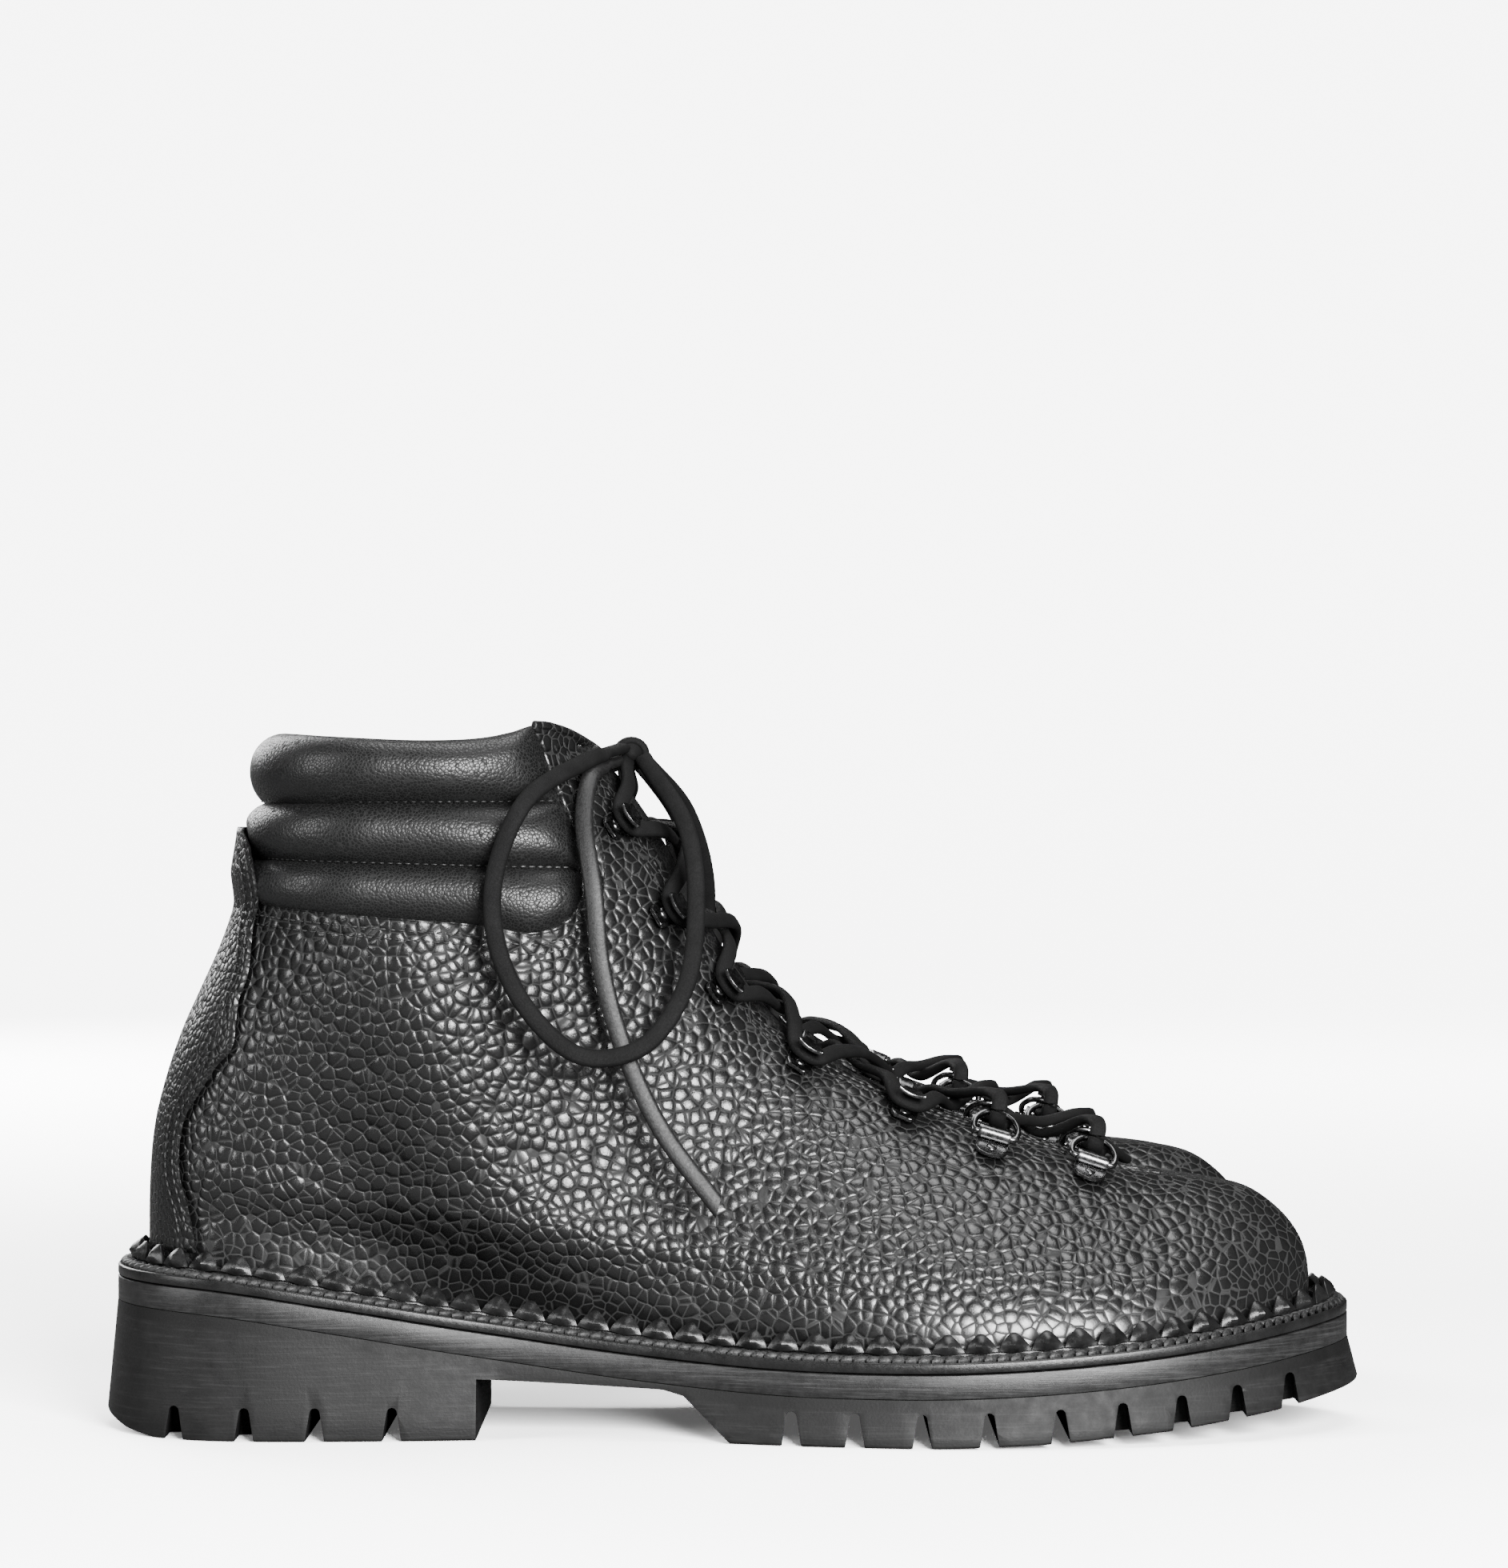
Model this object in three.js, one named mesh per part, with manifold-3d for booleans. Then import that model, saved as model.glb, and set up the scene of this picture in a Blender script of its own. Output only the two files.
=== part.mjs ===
// A pair of leather mountaineering boots, modelled piece by piece as they are made: a lugged outsole, a
// midsole, a storm welt, the board, shank and footbed inside it, the upper with its lining, backstay, padded
// collar and tongue, and the hooks, ring clips, rings and lace. Millimetres; X runs from heel to toe, Z is up.
import * as THREE from "three";
import { mergeVertices } from "three/addons/utils/BufferGeometryUtils.js";
import Module from "manifold-3d";

const wasm = await Module();
wasm.setup();

// Overall sizes of one boot and of the pair.
const BOOT_LENGTH = 310; // outsole, back of the heel to tip of the toe
const BOOT_HEIGHT = 171; // ground to the back of the collar
const BALL_WIDTH = 101.5; // outsole across the ball of the foot
const PAIR_SPACING = 120; // centre plane to centre plane
const PAIR_STAGGER = 4; // how far the left boot stands behind the right one
const GAP = 0.3; // the joint line left between two pieces that touch

// The pattern is drawn for these sizes, and graded to the sizes above.
const PATTERN_LENGTH = 310;
const PATTERN_HEIGHT = 171;
const PATTERN_WIDTH = 101.5;
const SOLE_LEVEL = 45; // below this level the heights belong to the sole, and aren't graded
const gradeX = (x) => (x * BOOT_LENGTH) / PATTERN_LENGTH;
const gradeY = (y) => (y * BALL_WIDTH) / PATTERN_WIDTH;
const gradeZ = (z) => {
  const rise = (BOOT_HEIGHT - SOLE_LEVEL) / (PATTERN_HEIGHT - SOLE_LEVEL);
  return z <= SOLE_LEVEL ? z : SOLE_LEVEL + (z - SOLE_LEVEL) * rise;
};

// Sole: outline rows are [x, lateral half width, medial half width], and side profiles are [x, z].
const HEEL_RADIUS = 39;
const TOE_SWING = 5; // how far the toe tip lies to the inner side of the centre plane
const OUTLINE_ROWS = [
  [70, 38.5, 37.5],
  [105, 36, 32.5],
  [140, 39, 32.5],
  [175, 48, 40],
  [205, 52.5, 47],
  [235, 51, 49.5],
  [262, 45, 47.5],
  [285, 34, 40],
  [300, 21, 29.5],
  [307.4, 9.5, 19],
];
const WELT_LINE = [
  [0, 40],
  [30, 38.4],
  [60, 34],
  [93, 28.5],
  [130, 23.2],
  [160, 20.6],
  [187, 20],
  [215, 20.4],
  [245, 22.2],
  [275, 25.4],
  [310, 30.6],
];
const TREAD_LINE = [
  [0, 4],
  [7, 1.2],
  [14, 0],
  [205, 0],
  [230, 0.9],
  [260, 3.4],
  [285, 6.6],
  [310, 11],
];
const SOLE_SLOPE = 2.5; // how much further in the sole's top edge lies than its bottom edge
const ARCH_FROM = 93; // heel breast
const ARCH_TO = 143;
const ARCH_HEIGHT = 14.5; // at the heel breast
const ARCH_LOW = 10.8; // and at its front end
const ARCH_RAMP = 11; // length of the slope from the arch down to the forefoot lugs
const ARCH_FOOT = 0.2; // height of the slope's foot
const GROOVE_DEPTH = 8;
const GROOVE_ROOT = 2.5; // groove width at its root
const GROOVE_MOUTH = 5.6; // and at the ground
const GROOVE_REACH = 13; // how far in a side notch runs
const THROUGH_GROOVES = [54.4, 72.9, 168.9, 184, 200, 216, 233];
const SIDE_NOTCHES = [20, 37.4, 248, 262.4, 276.3, 289.8];
const MIDSOLE_THICKNESS = 5.6;
const WELT_THICKNESS = 2.6;
const WELT_WALL = 3; // thickness of the strip that stands against the upper
const WELT_WALL_HEIGHT = 5.6;
const WELT_PLAY = 1.5; // between the welt's wall and the upper it leans on
const UPPER_INSET = 12; // sole's bottom edge to the upper's outer face, at the welt
const PATTERN_INSET = 12; // the inset that the upper's pattern is drawn for
const BOARD_THICKNESS = 2.4;
const SHANK_FROM = 62;
const SHANK_TO = 168;
const SHANK_WIDTH = 16;
const SHANK_THICKNESS = 1.6;
const FOOTBED_THICKNESS = 4;
const FOOTBED_PLAY = 2.4; // all round, so that it lifts out

// Upper: the back and front lines of the boot in side view, in matching steps from the welt to the collar.
const BACK_LINE = [
  [12, 40.5],
  [12, 46],
  [12, 51],
  [12.1, 56],
  [12.3, 62],
  [12.7, 68],
  [13.8, 76],
  [16.4, 86],
  [20, 96.5],
  [24.7, 107],
  [29.2, 117],
  [32.7, 127],
  [35.2, 139],
  [37, 151],
  [39, 162],
  [41, 171],
];
const FRONT_LINE = [
  [298, 31],
  [297.6, 39],
  [295.2, 47.5],
  [290.4, 54],
  [283.5, 58.6],
  [272, 61.2],
  [254, 63.4],
  [230, 70.5],
  [206, 78],
  [184, 88],
  [165, 101.5],
  [151.5, 120],
  [141.5, 138.5],
  [133.5, 151.5],
  [126.5, 161],
  [120, 168],
];
const TOP_LINE = [
  [20, 171.4],
  [42, 170.6],
  [60, 169.4],
  [81, 168.6],
  [94, 169.2],
  [101, 170.6],
  [107, 172.4],
  [113, 171],
  [122, 165.5],
  [140, 158],
];
const DIP_LEVELS = 12; // the lines round the boot follow the welt's dip less and less up to this step
const HEEL_ROUNDING = 31;
const SHAFT_ROUNDING = 42;
const SHAFT_HALF_WIDTH = 36;
const SIDE_BULGE = 3.4; // how far the upper swells out above the welt
const BULGE_RISE = 20;
const ARCH_POWER = 2.3; // squareness of the forefoot in cross-section
const LEATHER = 2.4;
const LINING = 1.5;
const LINING_GAP = 0.45;
const COLLAR_THICKNESS = 9.5;
const COLLAR_ROLLS = [132.5, 146.5, 162.5]; // heights of the three padded rolls
const ROLL_SWELL = 2;
const ROLL_HALF_HEIGHT = 7.5;
const UNDER_COLLAR = 8; // step that the collar's hollow starts from
const COLLAR_FROM = 9.5; // step of the back line under the collar's lower edge
const ROLL_STEP = 0.5; // steps between two loops of the rolls
const TAB_REACH = 9; // how far out the collar makes room for the backstay's tab
const COLLAR_EDGE = [
  [20, 131],
  [39, 128.7],
  [67, 126],
  [95, 123.7],
  [106.4, 121.8],
  [114.5, 123.9],
  [118, 128.3],
  [118.6, 140.7],
  [113.8, 154],
  [110.5, 162],
  [107, 172],
];
const BACKSTAY_THICKNESS = 2;
const BACKSTAY_EDGE = [
  [24.4, 47],
  [22.4, 54],
  [20, 63],
  [20, 70],
  [21.5, 77],
  [25, 82.5],
  [29.6, 89.4],
  [33.6, 94],
  [35, 105.4],
  [37.2, 111.6],
  [38.2, 123.6],
  [39.2, 128],
  [36.8, 145],
];
const TONGUE_THICKNESS = 5;
const TONGUE_MARGIN = 12; // how far the tongue runs on under each facing
const TONGUE_FROM = 4; // step that the tongue is cut from
const TONGUE_RUNS_ON = 0.3; // steps that it runs on under the end of the throat
const TONGUE_SINK = 0.4; // its crown lies this far below the facings' outer face
const TONGUE_EASE = 1; // and this far in from their edges
const THROAT_FROM = 5.6; // step of the front line where the throat begins
const THROAT_HALF_WIDTHS = [3.5, 7, 7.5, 9, 11, 13, 14, 14, 14, 14, 14];
const THROAT_CUT_IN = 30; // how deep the throat is cut in from the front line
const THROAT_CUT_OUT = 14;
const THROAT_RUN_ON = [14, 26]; // back and up, past the collar
const THROAT_EASE = 0.6; // the lining and the collar stand back from the facings by this
const RISE_PAST = 12; // how far a skin runs on past the top or the bottom before it is cut
const HOLLOW_PAST = 30; // and a hollow

// Hardware: each seat is [x, z] on the side of the boot, from the toe up.
const RING_SEATS = [
  [242, 63.6],
  [218, 70],
];
const HOOK_SEATS = [
  [197, 78.6],
  [172, 91.2],
  [153, 108.7],
  [140, 127.5],
  [128, 149],
];
const PLATE = 1; // sheet that the hooks and clips are pressed from
const HOOK_WIDTH = 6.6;
const HOOK_BASE_LENGTH = 9.5;
const HOOK_LIP_LENGTH = 6.4;
const HOOK_NECK_WIDTH = 3.4;
const HOOK_NECK_LENGTH = 1.3;
const WIRE_RADIUS = 0.8;
const RING_PLAY = 0.3; // running clearance of a ring in its clip
const RING_REACH = 6.8; // pivot to the middle of the bow
const RING_HALF_WIDTH = 5.5;
const RING_TILT = 24; // degrees that a threaded ring stands out from the upper
const CLIP_WIDTH = 8;
const CLIP_LENGTH = 6.2;
const LACE_RADIUS = 1.25;
const LACE_LIFT = 0.6; // how far the lace stays off what it crosses
const ROLL_RADIUS = WIRE_RADIUS + RING_PLAY + PLATE * 0.8;
const SEAT_LIFT = 0.9; // washer of leather under a hook or clip

const { lerp, smoothstep, degToRad } = THREE.MathUtils;
const vec = (x, y, z) => new THREE.Vector3(x, y, z);

// The upper's pattern runs from its own heel point to its own toe point, both set in from the sole's edge.
const upperX = (x) => {
  const patternRun = PATTERN_LENGTH - 2 * PATTERN_INSET;
  const run = BOOT_LENGTH - 2 * UPPER_INSET;
  return UPPER_INSET + ((x - PATTERN_INSET) * run) / patternRun;
};

// ---- Curves, lofts and booleans.

// A smooth line through graded [x, z] points, with `fine` steps to each span.
function smoothLine(points, fine, alongX = upperX) {
  const knots = points.map(([x, z]) => vec(alongX(x), 0, gradeZ(z)));
  return new THREE.CatmullRomCurve3(knots, false, "centripetal").getPoints((knots.length - 1) * fine);
}

// The height of a line at x, between its points.
function heightAt(line, x) {
  const rising = line[0].x < line[line.length - 1].x;
  const points = rising ? line : line.slice().reverse();
  if (x <= points[0].x) return points[0].z;
  const next = points.findIndex((p) => p.x > x);
  if (next < 0) return points[points.length - 1].z;
  const a = points[next - 1];
  const b = points[next];
  return lerp(a.z, b.z, (x - a.x) / (b.x - a.x));
}

// A line moved sideways in the XZ plane, to its right when `distance` is positive.
function besideLine(line, distance) {
  return line.map((p, i) => {
    const run = line[Math.min(i + 1, line.length - 1)].clone().sub(line[Math.max(i - 1, 0)]).normalize();
    return vec(p.x + run.z * distance, 0, p.z - run.x * distance);
  });
}

// The distance from (x, z) to a line.
function distanceTo(line, x, z) {
  const point = vec(x, 0, z);
  const closest = vec(0, 0, 0);
  let nearest = Infinity;
  for (let i = 0; i + 1 < line.length; i++) {
    new THREE.Line3(line[i], line[i + 1]).closestPointToPoint(point, true, closest);
    nearest = Math.min(nearest, closest.distanceTo(point));
  }
  return nearest;
}

// 0 at the edge, 1 from `radius` inwards, round in between.
function rounding(distance, radius) {
  const left = 1 - THREE.MathUtils.clamp(distance / radius, 0, 1);
  return Math.sqrt(Math.max(0, 1 - left * left));
}

// A closed body through a stack of loops. Each loop runs from its back point along the lateral side to its
// front point and back along the medial side. The two sides are bridged at both ends, or the last loop joins
// the first one when the body is a `ring`.
function loft(loops, ring = false) {
  const count = loops[0].length;
  const half = count / 2;
  const index = [];
  const levels = ring ? loops.length : loops.length - 1;
  for (let level = 0; level < levels; level++) {
    const base = level * count;
    const next = ((level + 1) % loops.length) * count;
    for (let i = 0; i < count; i++) {
      const j = (i + 1) % count;
      index.push(base + i, base + j, next + j, base + i, next + j, next + i);
    }
  }
  const top = (loops.length - 1) * count;
  for (let i = 0; i < half && !ring; i++) {
    const across = [i, i + 1, count - i - 1, (count - i) % count];
    const [a, b, c, d] = across;
    if (b !== c) index.push(a, c, b, top + a, top + b, top + c);
    if (a !== d) index.push(a, d, c, top + a, top + c, top + d);
  }
  const geometry = new THREE.BufferGeometry();
  const positions = loops.flat().flatMap((p) => [p.x, p.y, p.z]);
  geometry.setAttribute("position", new THREE.Float32BufferAttribute(positions, 3));
  geometry.setIndex(index);
  return geometry;
}

// A flat outline of [x, z] points as a plate across the boot, `width` wide about y.
function acrossPlate(points, width, y = 0) {
  const shape = new THREE.Shape(points.map(([x, z]) => new THREE.Vector2(x, z)));
  const geometry = new THREE.ExtrudeGeometry(shape, { depth: width, bevelEnabled: false });
  return geometry.rotateX(Math.PI / 2).translate(0, y + width / 2, 0);
}

function solidOf(geometry) {
  const bare = geometry.clone();
  bare.deleteAttribute("normal");
  bare.deleteAttribute("uv");
  const merged = mergeVertices(bare, 1e-4);
  return new wasm.Manifold(
    new wasm.Mesh({
      numProp: 3,
      vertProperties: merged.attributes.position.array,
      triVerts: new Uint32Array(merged.index.array),
    }),
  );
}

function geometryOf(solid) {
  const mesh = solid.getMesh();
  const geometry = new THREE.BufferGeometry();
  geometry.setAttribute("position", new THREE.BufferAttribute(mesh.vertProperties, 3));
  geometry.setIndex(new THREE.BufferAttribute(mesh.triVerts, 1));
  return geometry;
}

// ---- The sole.

// The sole's outline as a loop of points, moved in by `inset`.
function outline(inset, fine = 1) {
  const arcs = [22.5, 45, 67.5, 90].map((angle) => {
    const turn = degToRad(angle);
    return [HEEL_RADIUS * (1 - Math.cos(turn)), HEEL_RADIUS * Math.sin(turn), HEEL_RADIUS * Math.sin(turn)];
  });
  const rows = OUTLINE_ROWS.map(([x, lateral, medial]) => [gradeX(x), gradeY(lateral), gradeY(medial)]);
  const sides = arcs.concat(rows);
  const knots = [
    vec(0, 0, 0),
    ...sides.map(([x, lateral]) => vec(x, -lateral, 0)),
    vec(BOOT_LENGTH, TOE_SWING, 0),
    ...sides.map(([x, , medial]) => vec(x, medial, 0)).reverse(),
  ];
  const curve = new THREE.CatmullRomCurve3(knots, true, "centripetal");
  const points = curve.getPoints(knots.length * fine).slice(0, -1);
  return points.map((p, i) => {
    const before = points[(i + points.length - 1) % points.length];
    const run = points[(i + 1) % points.length].clone().sub(before).normalize();
    return vec(p.x - run.y * inset, p.y + run.x * inset, 0);
  });
}

const weltLine = smoothLine(WELT_LINE, 2, gradeX);
const weltHeight = (x) => heightAt(weltLine, x);
const treadLine = TREAD_LINE.map(([x, z]) => vec(gradeX(x), 0, z));
const treadHeight = (x) => heightAt(treadLine, x);
const onOutline = (inset, height) => outline(inset).map((p) => vec(p.x, p.y, height(p.x)));

const midsoleTop = (x) => weltHeight(x) - WELT_THICKNESS - GAP;
const outsoleTop = (x) => midsoleTop(x) - MIDSOLE_THICKNESS - GAP;

const PAST = 3; // how far a cutter runs on past the face that it cuts
const FAR = 400; // past every face of the boot
const BEHIND = -20; // and past its back

function groove(x, y, width) {
  const root = treadHeight(gradeX(x)) + GROOVE_DEPTH;
  const mouth = root - GROOVE_DEPTH - PAST;
  const half = GROOVE_MOUTH / 2;
  const rootHalf = GROOVE_ROOT / 2;
  const section = [
    [gradeX(x) - half, mouth],
    [gradeX(x) + half, mouth],
    [gradeX(x) + rootHalf, root],
    [gradeX(x) - rootHalf, root],
  ];
  return solidOf(acrossPlate(section, width, y));
}

function outsole() {
  let sole = solidOf(loft([onOutline(0, treadHeight), onOutline(SOLE_SLOPE, outsoleTop)]));
  const arch = [
    [gradeX(ARCH_FROM), -PAST],
    [gradeX(ARCH_TO) + ARCH_RAMP, -PAST],
    [gradeX(ARCH_TO) + ARCH_RAMP, ARCH_FOOT],
    [gradeX(ARCH_TO), ARCH_LOW],
    [gradeX(ARCH_FROM), ARCH_HEIGHT],
  ];
  sole = sole.subtract(solidOf(acrossPlate(arch, 2 * BALL_WIDTH)));
  for (const x of THROUGH_GROOVES) sole = sole.subtract(groove(x, 0, 2 * BALL_WIDTH));
  const edge = outline(0);
  for (const x of SIDE_NOTCHES) {
    for (const side of [-1, 1]) {
      const reach = edge.filter((p) => Math.sign(p.y - TOE_SWING / 2) === side);
      const near = reach.reduce((a, b) => (Math.abs(b.x - gradeX(x)) < Math.abs(a.x - gradeX(x)) ? b : a));
      const reachOut = BALL_WIDTH / 2;
      const width = reachOut + GROOVE_REACH;
      sole = sole.subtract(groove(x, near.y + side * (reachOut - width / 2), width));
    }
  }
  return geometryOf(sole);
}

function shankPlate(play, rise) {
  const stations = [0, 0.25, 0.5, 0.75, 1].map((f) => gradeX(lerp(SHANK_FROM, SHANK_TO, f)));
  stations[0] -= play;
  stations[4] += play;
  const bottom = stations.map((x) => [x, midsoleTop(x) - SHANK_THICKNESS - GAP - play]);
  const top = stations.map((x) => [x, midsoleTop(x) - GAP + rise]).reverse();
  return acrossPlate(bottom.concat(top), SHANK_WIDTH + 2 * play);
}

function midsole() {
  const slab = loft([
    onOutline(SOLE_SLOPE, (x) => outsoleTop(x) + GAP),
    onOutline(SOLE_SLOPE, midsoleTop),
  ]);
  return geometryOf(solidOf(slab).subtract(solidOf(shankPlate(GAP, PAST))));
}

function stormWelt() {
  const bottom = (x) => weltHeight(x) - WELT_THICKNESS;
  const wallTop = (x) => weltHeight(x) + WELT_WALL_HEIGHT;
  const inner = UPPER_INSET - WELT_PLAY;
  const outer = inner - WELT_WALL;
  return loft(
    [
      onOutline(SOLE_SLOPE, bottom),
      onOutline(SOLE_SLOPE, weltHeight),
      onOutline(outer, weltHeight),
      onOutline(outer, wallTop),
      onOutline(inner, wallTop),
      onOutline(inner, bottom),
    ],
    true,
  );
}

function insoleBoard() {
  const inset = UPPER_INSET - WELT_PLAY + GAP;
  const top = (x) => weltHeight(x) - WELT_THICKNESS + BOARD_THICKNESS;
  return loft([onOutline(inset, (x) => top(x) - BOARD_THICKNESS), onOutline(inset, top)]);
}

function footbed() {
  const inset = UPPER_INSET + LEATHER + LINING_GAP + LINING + FOOTBED_PLAY;
  const bottom = (x) => weltHeight(x) - WELT_THICKNESS + BOARD_THICKNESS + GAP;
  return loft([onOutline(inset, bottom), onOutline(inset, (x) => bottom(x) + FOOTBED_THICKNESS)]);
}

// ---- The upper.

const backLine = smoothLine(BACK_LINE, 4);
const frontLine = smoothLine(FRONT_LINE, 4);
const STEPS = BACK_LINE.length - 1;
const sampleAt = (line, step) => {
  const at = THREE.MathUtils.clamp(step * 4, 0, line.length - 1);
  const low = Math.min(Math.floor(at), line.length - 2);
  return line[low].clone().lerp(line[low + 1], at - low);
};

// The outer face of the upper, moved in by `depth`, as a function that gives y at (x, z).
function skin(depth) {
  const back = besideLine(backLine, depth);
  const front = besideLine(frontLine, -depth);
  const edge = outline(UPPER_INSET + depth, 3);
  const tip = edge.length / 2;
  const lateralEdge = edge.slice(0, tip + 1).map((p) => vec(p.x, 0, p.y));
  const medialEdge = edge.slice(tip).concat([edge[0]]).map((p) => vec(p.x, 0, p.y));
  const middle = (x) => TOE_SWING * smoothstep(x, upperX(180), BOOT_LENGTH);

  function sideAt(x, z, side) {
    const edgeLine = side < 0 ? lateralEdge : medialEdge;
    const atWelt = Math.abs(heightAt(edgeLine, x) - middle(x));
    const plan = Math.abs(heightAt(edgeLine, Math.max(x, HEEL_RADIUS)) - middle(x));
    const wallTop = weltHeight(x) + WELT_WALL_HEIGHT;
    const above = smoothstep(z, wallTop, wallTop + BULGE_RISE);
    const toShaft = smoothstep(z, gradeZ(55), gradeZ(115));
    const bulge = SIDE_BULGE * above * (1 - smoothstep(x, upperX(150), upperX(270)));
    const width = lerp(plan + bulge, SHAFT_HALF_WIDTH - depth, toShaft);
    const fromBack = rounding(distanceTo(backLine, x, z) - depth, HEEL_ROUNDING - depth);
    const fromFront = rounding(distanceTo(frontLine, x, z) - depth, SHAFT_ROUNDING - depth);
    const crown = heightAt(front, x);
    const share = THREE.MathUtils.clamp((z - weltHeight(x)) / (crown - weltHeight(x)), 0, 1);
    const arch = (1 - share ** ARCH_POWER) ** (1 / ARCH_POWER);
    const inFoot = smoothstep(x, upperX(110), upperX(170));
    const high = width * lerp(fromBack * fromFront, arch, inFoot);
    return middle(x) + side * lerp(atWelt, high, above);
  }

  // The loop at one step up the boot, with `count` spans to a side, dropped by `drop` or raised past the top.
  function loop(step, count, rise = 0) {
    const a = sampleAt(back, step);
    const b = sampleAt(front, step);
    const foot = sampleAt(back, 0);
    const toe = sampleAt(front, 0);
    const dip = Math.max(0, 1 - step / DIP_LEVELS);
    const points = [];
    for (let i = 0; i < 2 * count; i++) {
      const along = (1 - Math.cos((i * Math.PI) / count)) / 2;
      const x = lerp(a.x, b.x, along);
      const sag = lerp(foot.z, toe.z, along) - weltHeight(lerp(foot.x, toe.x, along)) - GAP;
      const z = lerp(a.z, b.z, along) - dip * sag;
      const onLine = i % count === 0;
      const y = onLine ? middle(x) : sideAt(x, z, i < count ? -1 : 1);
      points.push(vec(x, y, z + rise));
    }
    return points;
  }

  return { depth, sideAt, middle, loop, front };
}

const AROUND = 10; // spans to a side of a loop
const LEVELS = [0, 1, 2.5, 4, 5.5, 7, 8, 9, 10, 11, 12.5, 14, 15]; // steps with a loop, close at the instep

// A solid of everything inside a skin, from the step `low` up, run on by `under` and `over`.
function filled(face, low, under, over) {
  const loops = LEVELS.filter((step) => step >= low).map((step) => face.loop(step, AROUND));
  if (under) loops.unshift(face.loop(low, AROUND, -under));
  if (over) loops.push(face.loop(STEPS, AROUND, over));
  return solidOf(loft(loops));
}

// A cutter along the throat: `extra` wider on each side than the throat itself.
function throatCutter(extra, from = THROAT_FROM) {
  const stations = THROAT_HALF_WIDTHS.map((half, i) => ({
    step: Math.min(lerp(from, STEPS, i / (THROAT_HALF_WIDTHS.length - 1)), STEPS),
    half: half + extra,
  }));
  const loops = stations.map(({ step, half }) => {
    const p = sampleAt(frontLine, step);
    const run = sampleAt(frontLine, step + 0.2).sub(sampleAt(frontLine, step - 0.2)).normalize();
    const out = vec(run.z, 0, -run.x);
    const inner = p.clone().addScaledVector(out, -THROAT_CUT_IN);
    const outer = p.clone().addScaledVector(out, THROAT_CUT_OUT);
    const y = TOE_SWING * smoothstep(p.x, upperX(180), BOOT_LENGTH);
    const corner = (q, side) => vec(q.x, y + side * half, q.z);
    const lateral = [inner.setY(y), corner(inner, -1), corner(outer, -1)];
    return [...lateral, outer.setY(y), corner(outer, 1), corner(inner, 1)];
  });
  const last = loops[loops.length - 1].map((p) => vec(p.x - THROAT_RUN_ON[0], p.y, p.z + THROAT_RUN_ON[1]));
  return solidOf(loft([...loops, last]));
}

const topLine = smoothLine(TOP_LINE, 1).map((p) => [p.x, p.z]);
const overTop = [[FAR, topLine.at(-1)[1]], [FAR, FAR], [BEHIND, FAR], [BEHIND, topLine[0][1]]];
const aboveTop = solidOf(acrossPlate([...topLine, ...overTop], FAR));

// The collar's side of its lower and front edge, as a plate across the boot moved out by `grow`.
function collarZone(grow) {
  const edge = besideLine(smoothLine(COLLAR_EDGE, 2), grow).map((p) => [p.x, p.z]);
  const around = [[edge.at(-1)[0], FAR], [BEHIND, FAR], [BEHIND, edge[0][1]]];
  return solidOf(acrossPlate([...edge, ...around], FAR));
}

const outerSkin = skin(0);
const throat = throatCutter(0);

function upper() {
  const hollow = filled(skin(LEATHER), 0, RISE_PAST, HOLLOW_PAST);
  const shell = filled(outerSkin, 0, 0, RISE_PAST).subtract(hollow);
  return geometryOf(shell.subtract(throat).subtract(collarZone(GAP)).subtract(aboveTop));
}

function lining() {
  const depth = LEATHER + LINING_GAP;
  const hollow = filled(skin(depth + LINING), 0, RISE_PAST, HOLLOW_PAST);
  const shell = filled(skin(depth), 0, 0, RISE_PAST).subtract(hollow);
  return geometryOf(shell.subtract(throatCutter(THROAT_EASE)).subtract(collarZone(GAP)).subtract(aboveTop));
}

const rollSkin = skin(-ROLL_SWELL);

// How full the collar is at a height: 1 on a roll's crest, 0 in the channels.
function fullness(z) {
  const rolls = COLLAR_ROLLS.map((height) => {
    const off = (z - gradeZ(height)) / ROLL_HALF_HEIGHT;
    return Math.abs(off) < 1 ? Math.sqrt(1 - off * off) : 0;
  });
  return Math.max(...rolls);
}

// The collar's padded outer face: the upper's face, swollen at each roll.
function rolledLoops() {
  const loops = [];
  for (let step = COLLAR_FROM; step <= STEPS; step += ROLL_STEP) {
    const plain = outerSkin.loop(step, AROUND);
    const swollen = rollSkin.loop(step, AROUND);
    loops.push(plain.map((p, i) => p.clone().lerp(swollen[i], fullness(p.z))));
  }
  loops.push(loops.at(-1).map((p) => vec(p.x, p.y, p.z + RISE_PAST)));
  return loops;
}

function backstayZone(grow) {
  const edge = besideLine(smoothLine(BACKSTAY_EDGE, 1), grow).map((p) => [p.x, p.z]);
  edge[0][1] -= grow;
  edge[edge.length - 1][1] += grow;
  return solidOf(acrossPlate([...edge, [BEHIND, edge.at(-1)[1]], [BEHIND, edge[0][1]]], FAR));
}

function backstay() {
  const outer = filled(skin(-GAP - BACKSTAY_THICKNESS), 0, 0, 0);
  const inner = filled(skin(-GAP), 0, RISE_PAST, RISE_PAST);
  return geometryOf(outer.subtract(inner).intersect(backstayZone(0)));
}

function collar() {
  const under = filled(skin(COLLAR_THICKNESS), UNDER_COLLAR, RISE_PAST, HOLLOW_PAST);
  const around = filled(skin(-TAB_REACH), 0, 0, RISE_PAST);
  const tabSpace = around.subtract(filled(outerSkin, 0, RISE_PAST, RISE_PAST)).intersect(backstayZone(GAP));
  const padded = solidOf(loft(rolledLoops())).subtract(under).intersect(collarZone(0));
  return geometryOf(padded.subtract(throatCutter(THROAT_EASE)).subtract(aboveTop).subtract(tabSpace));
}

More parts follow.
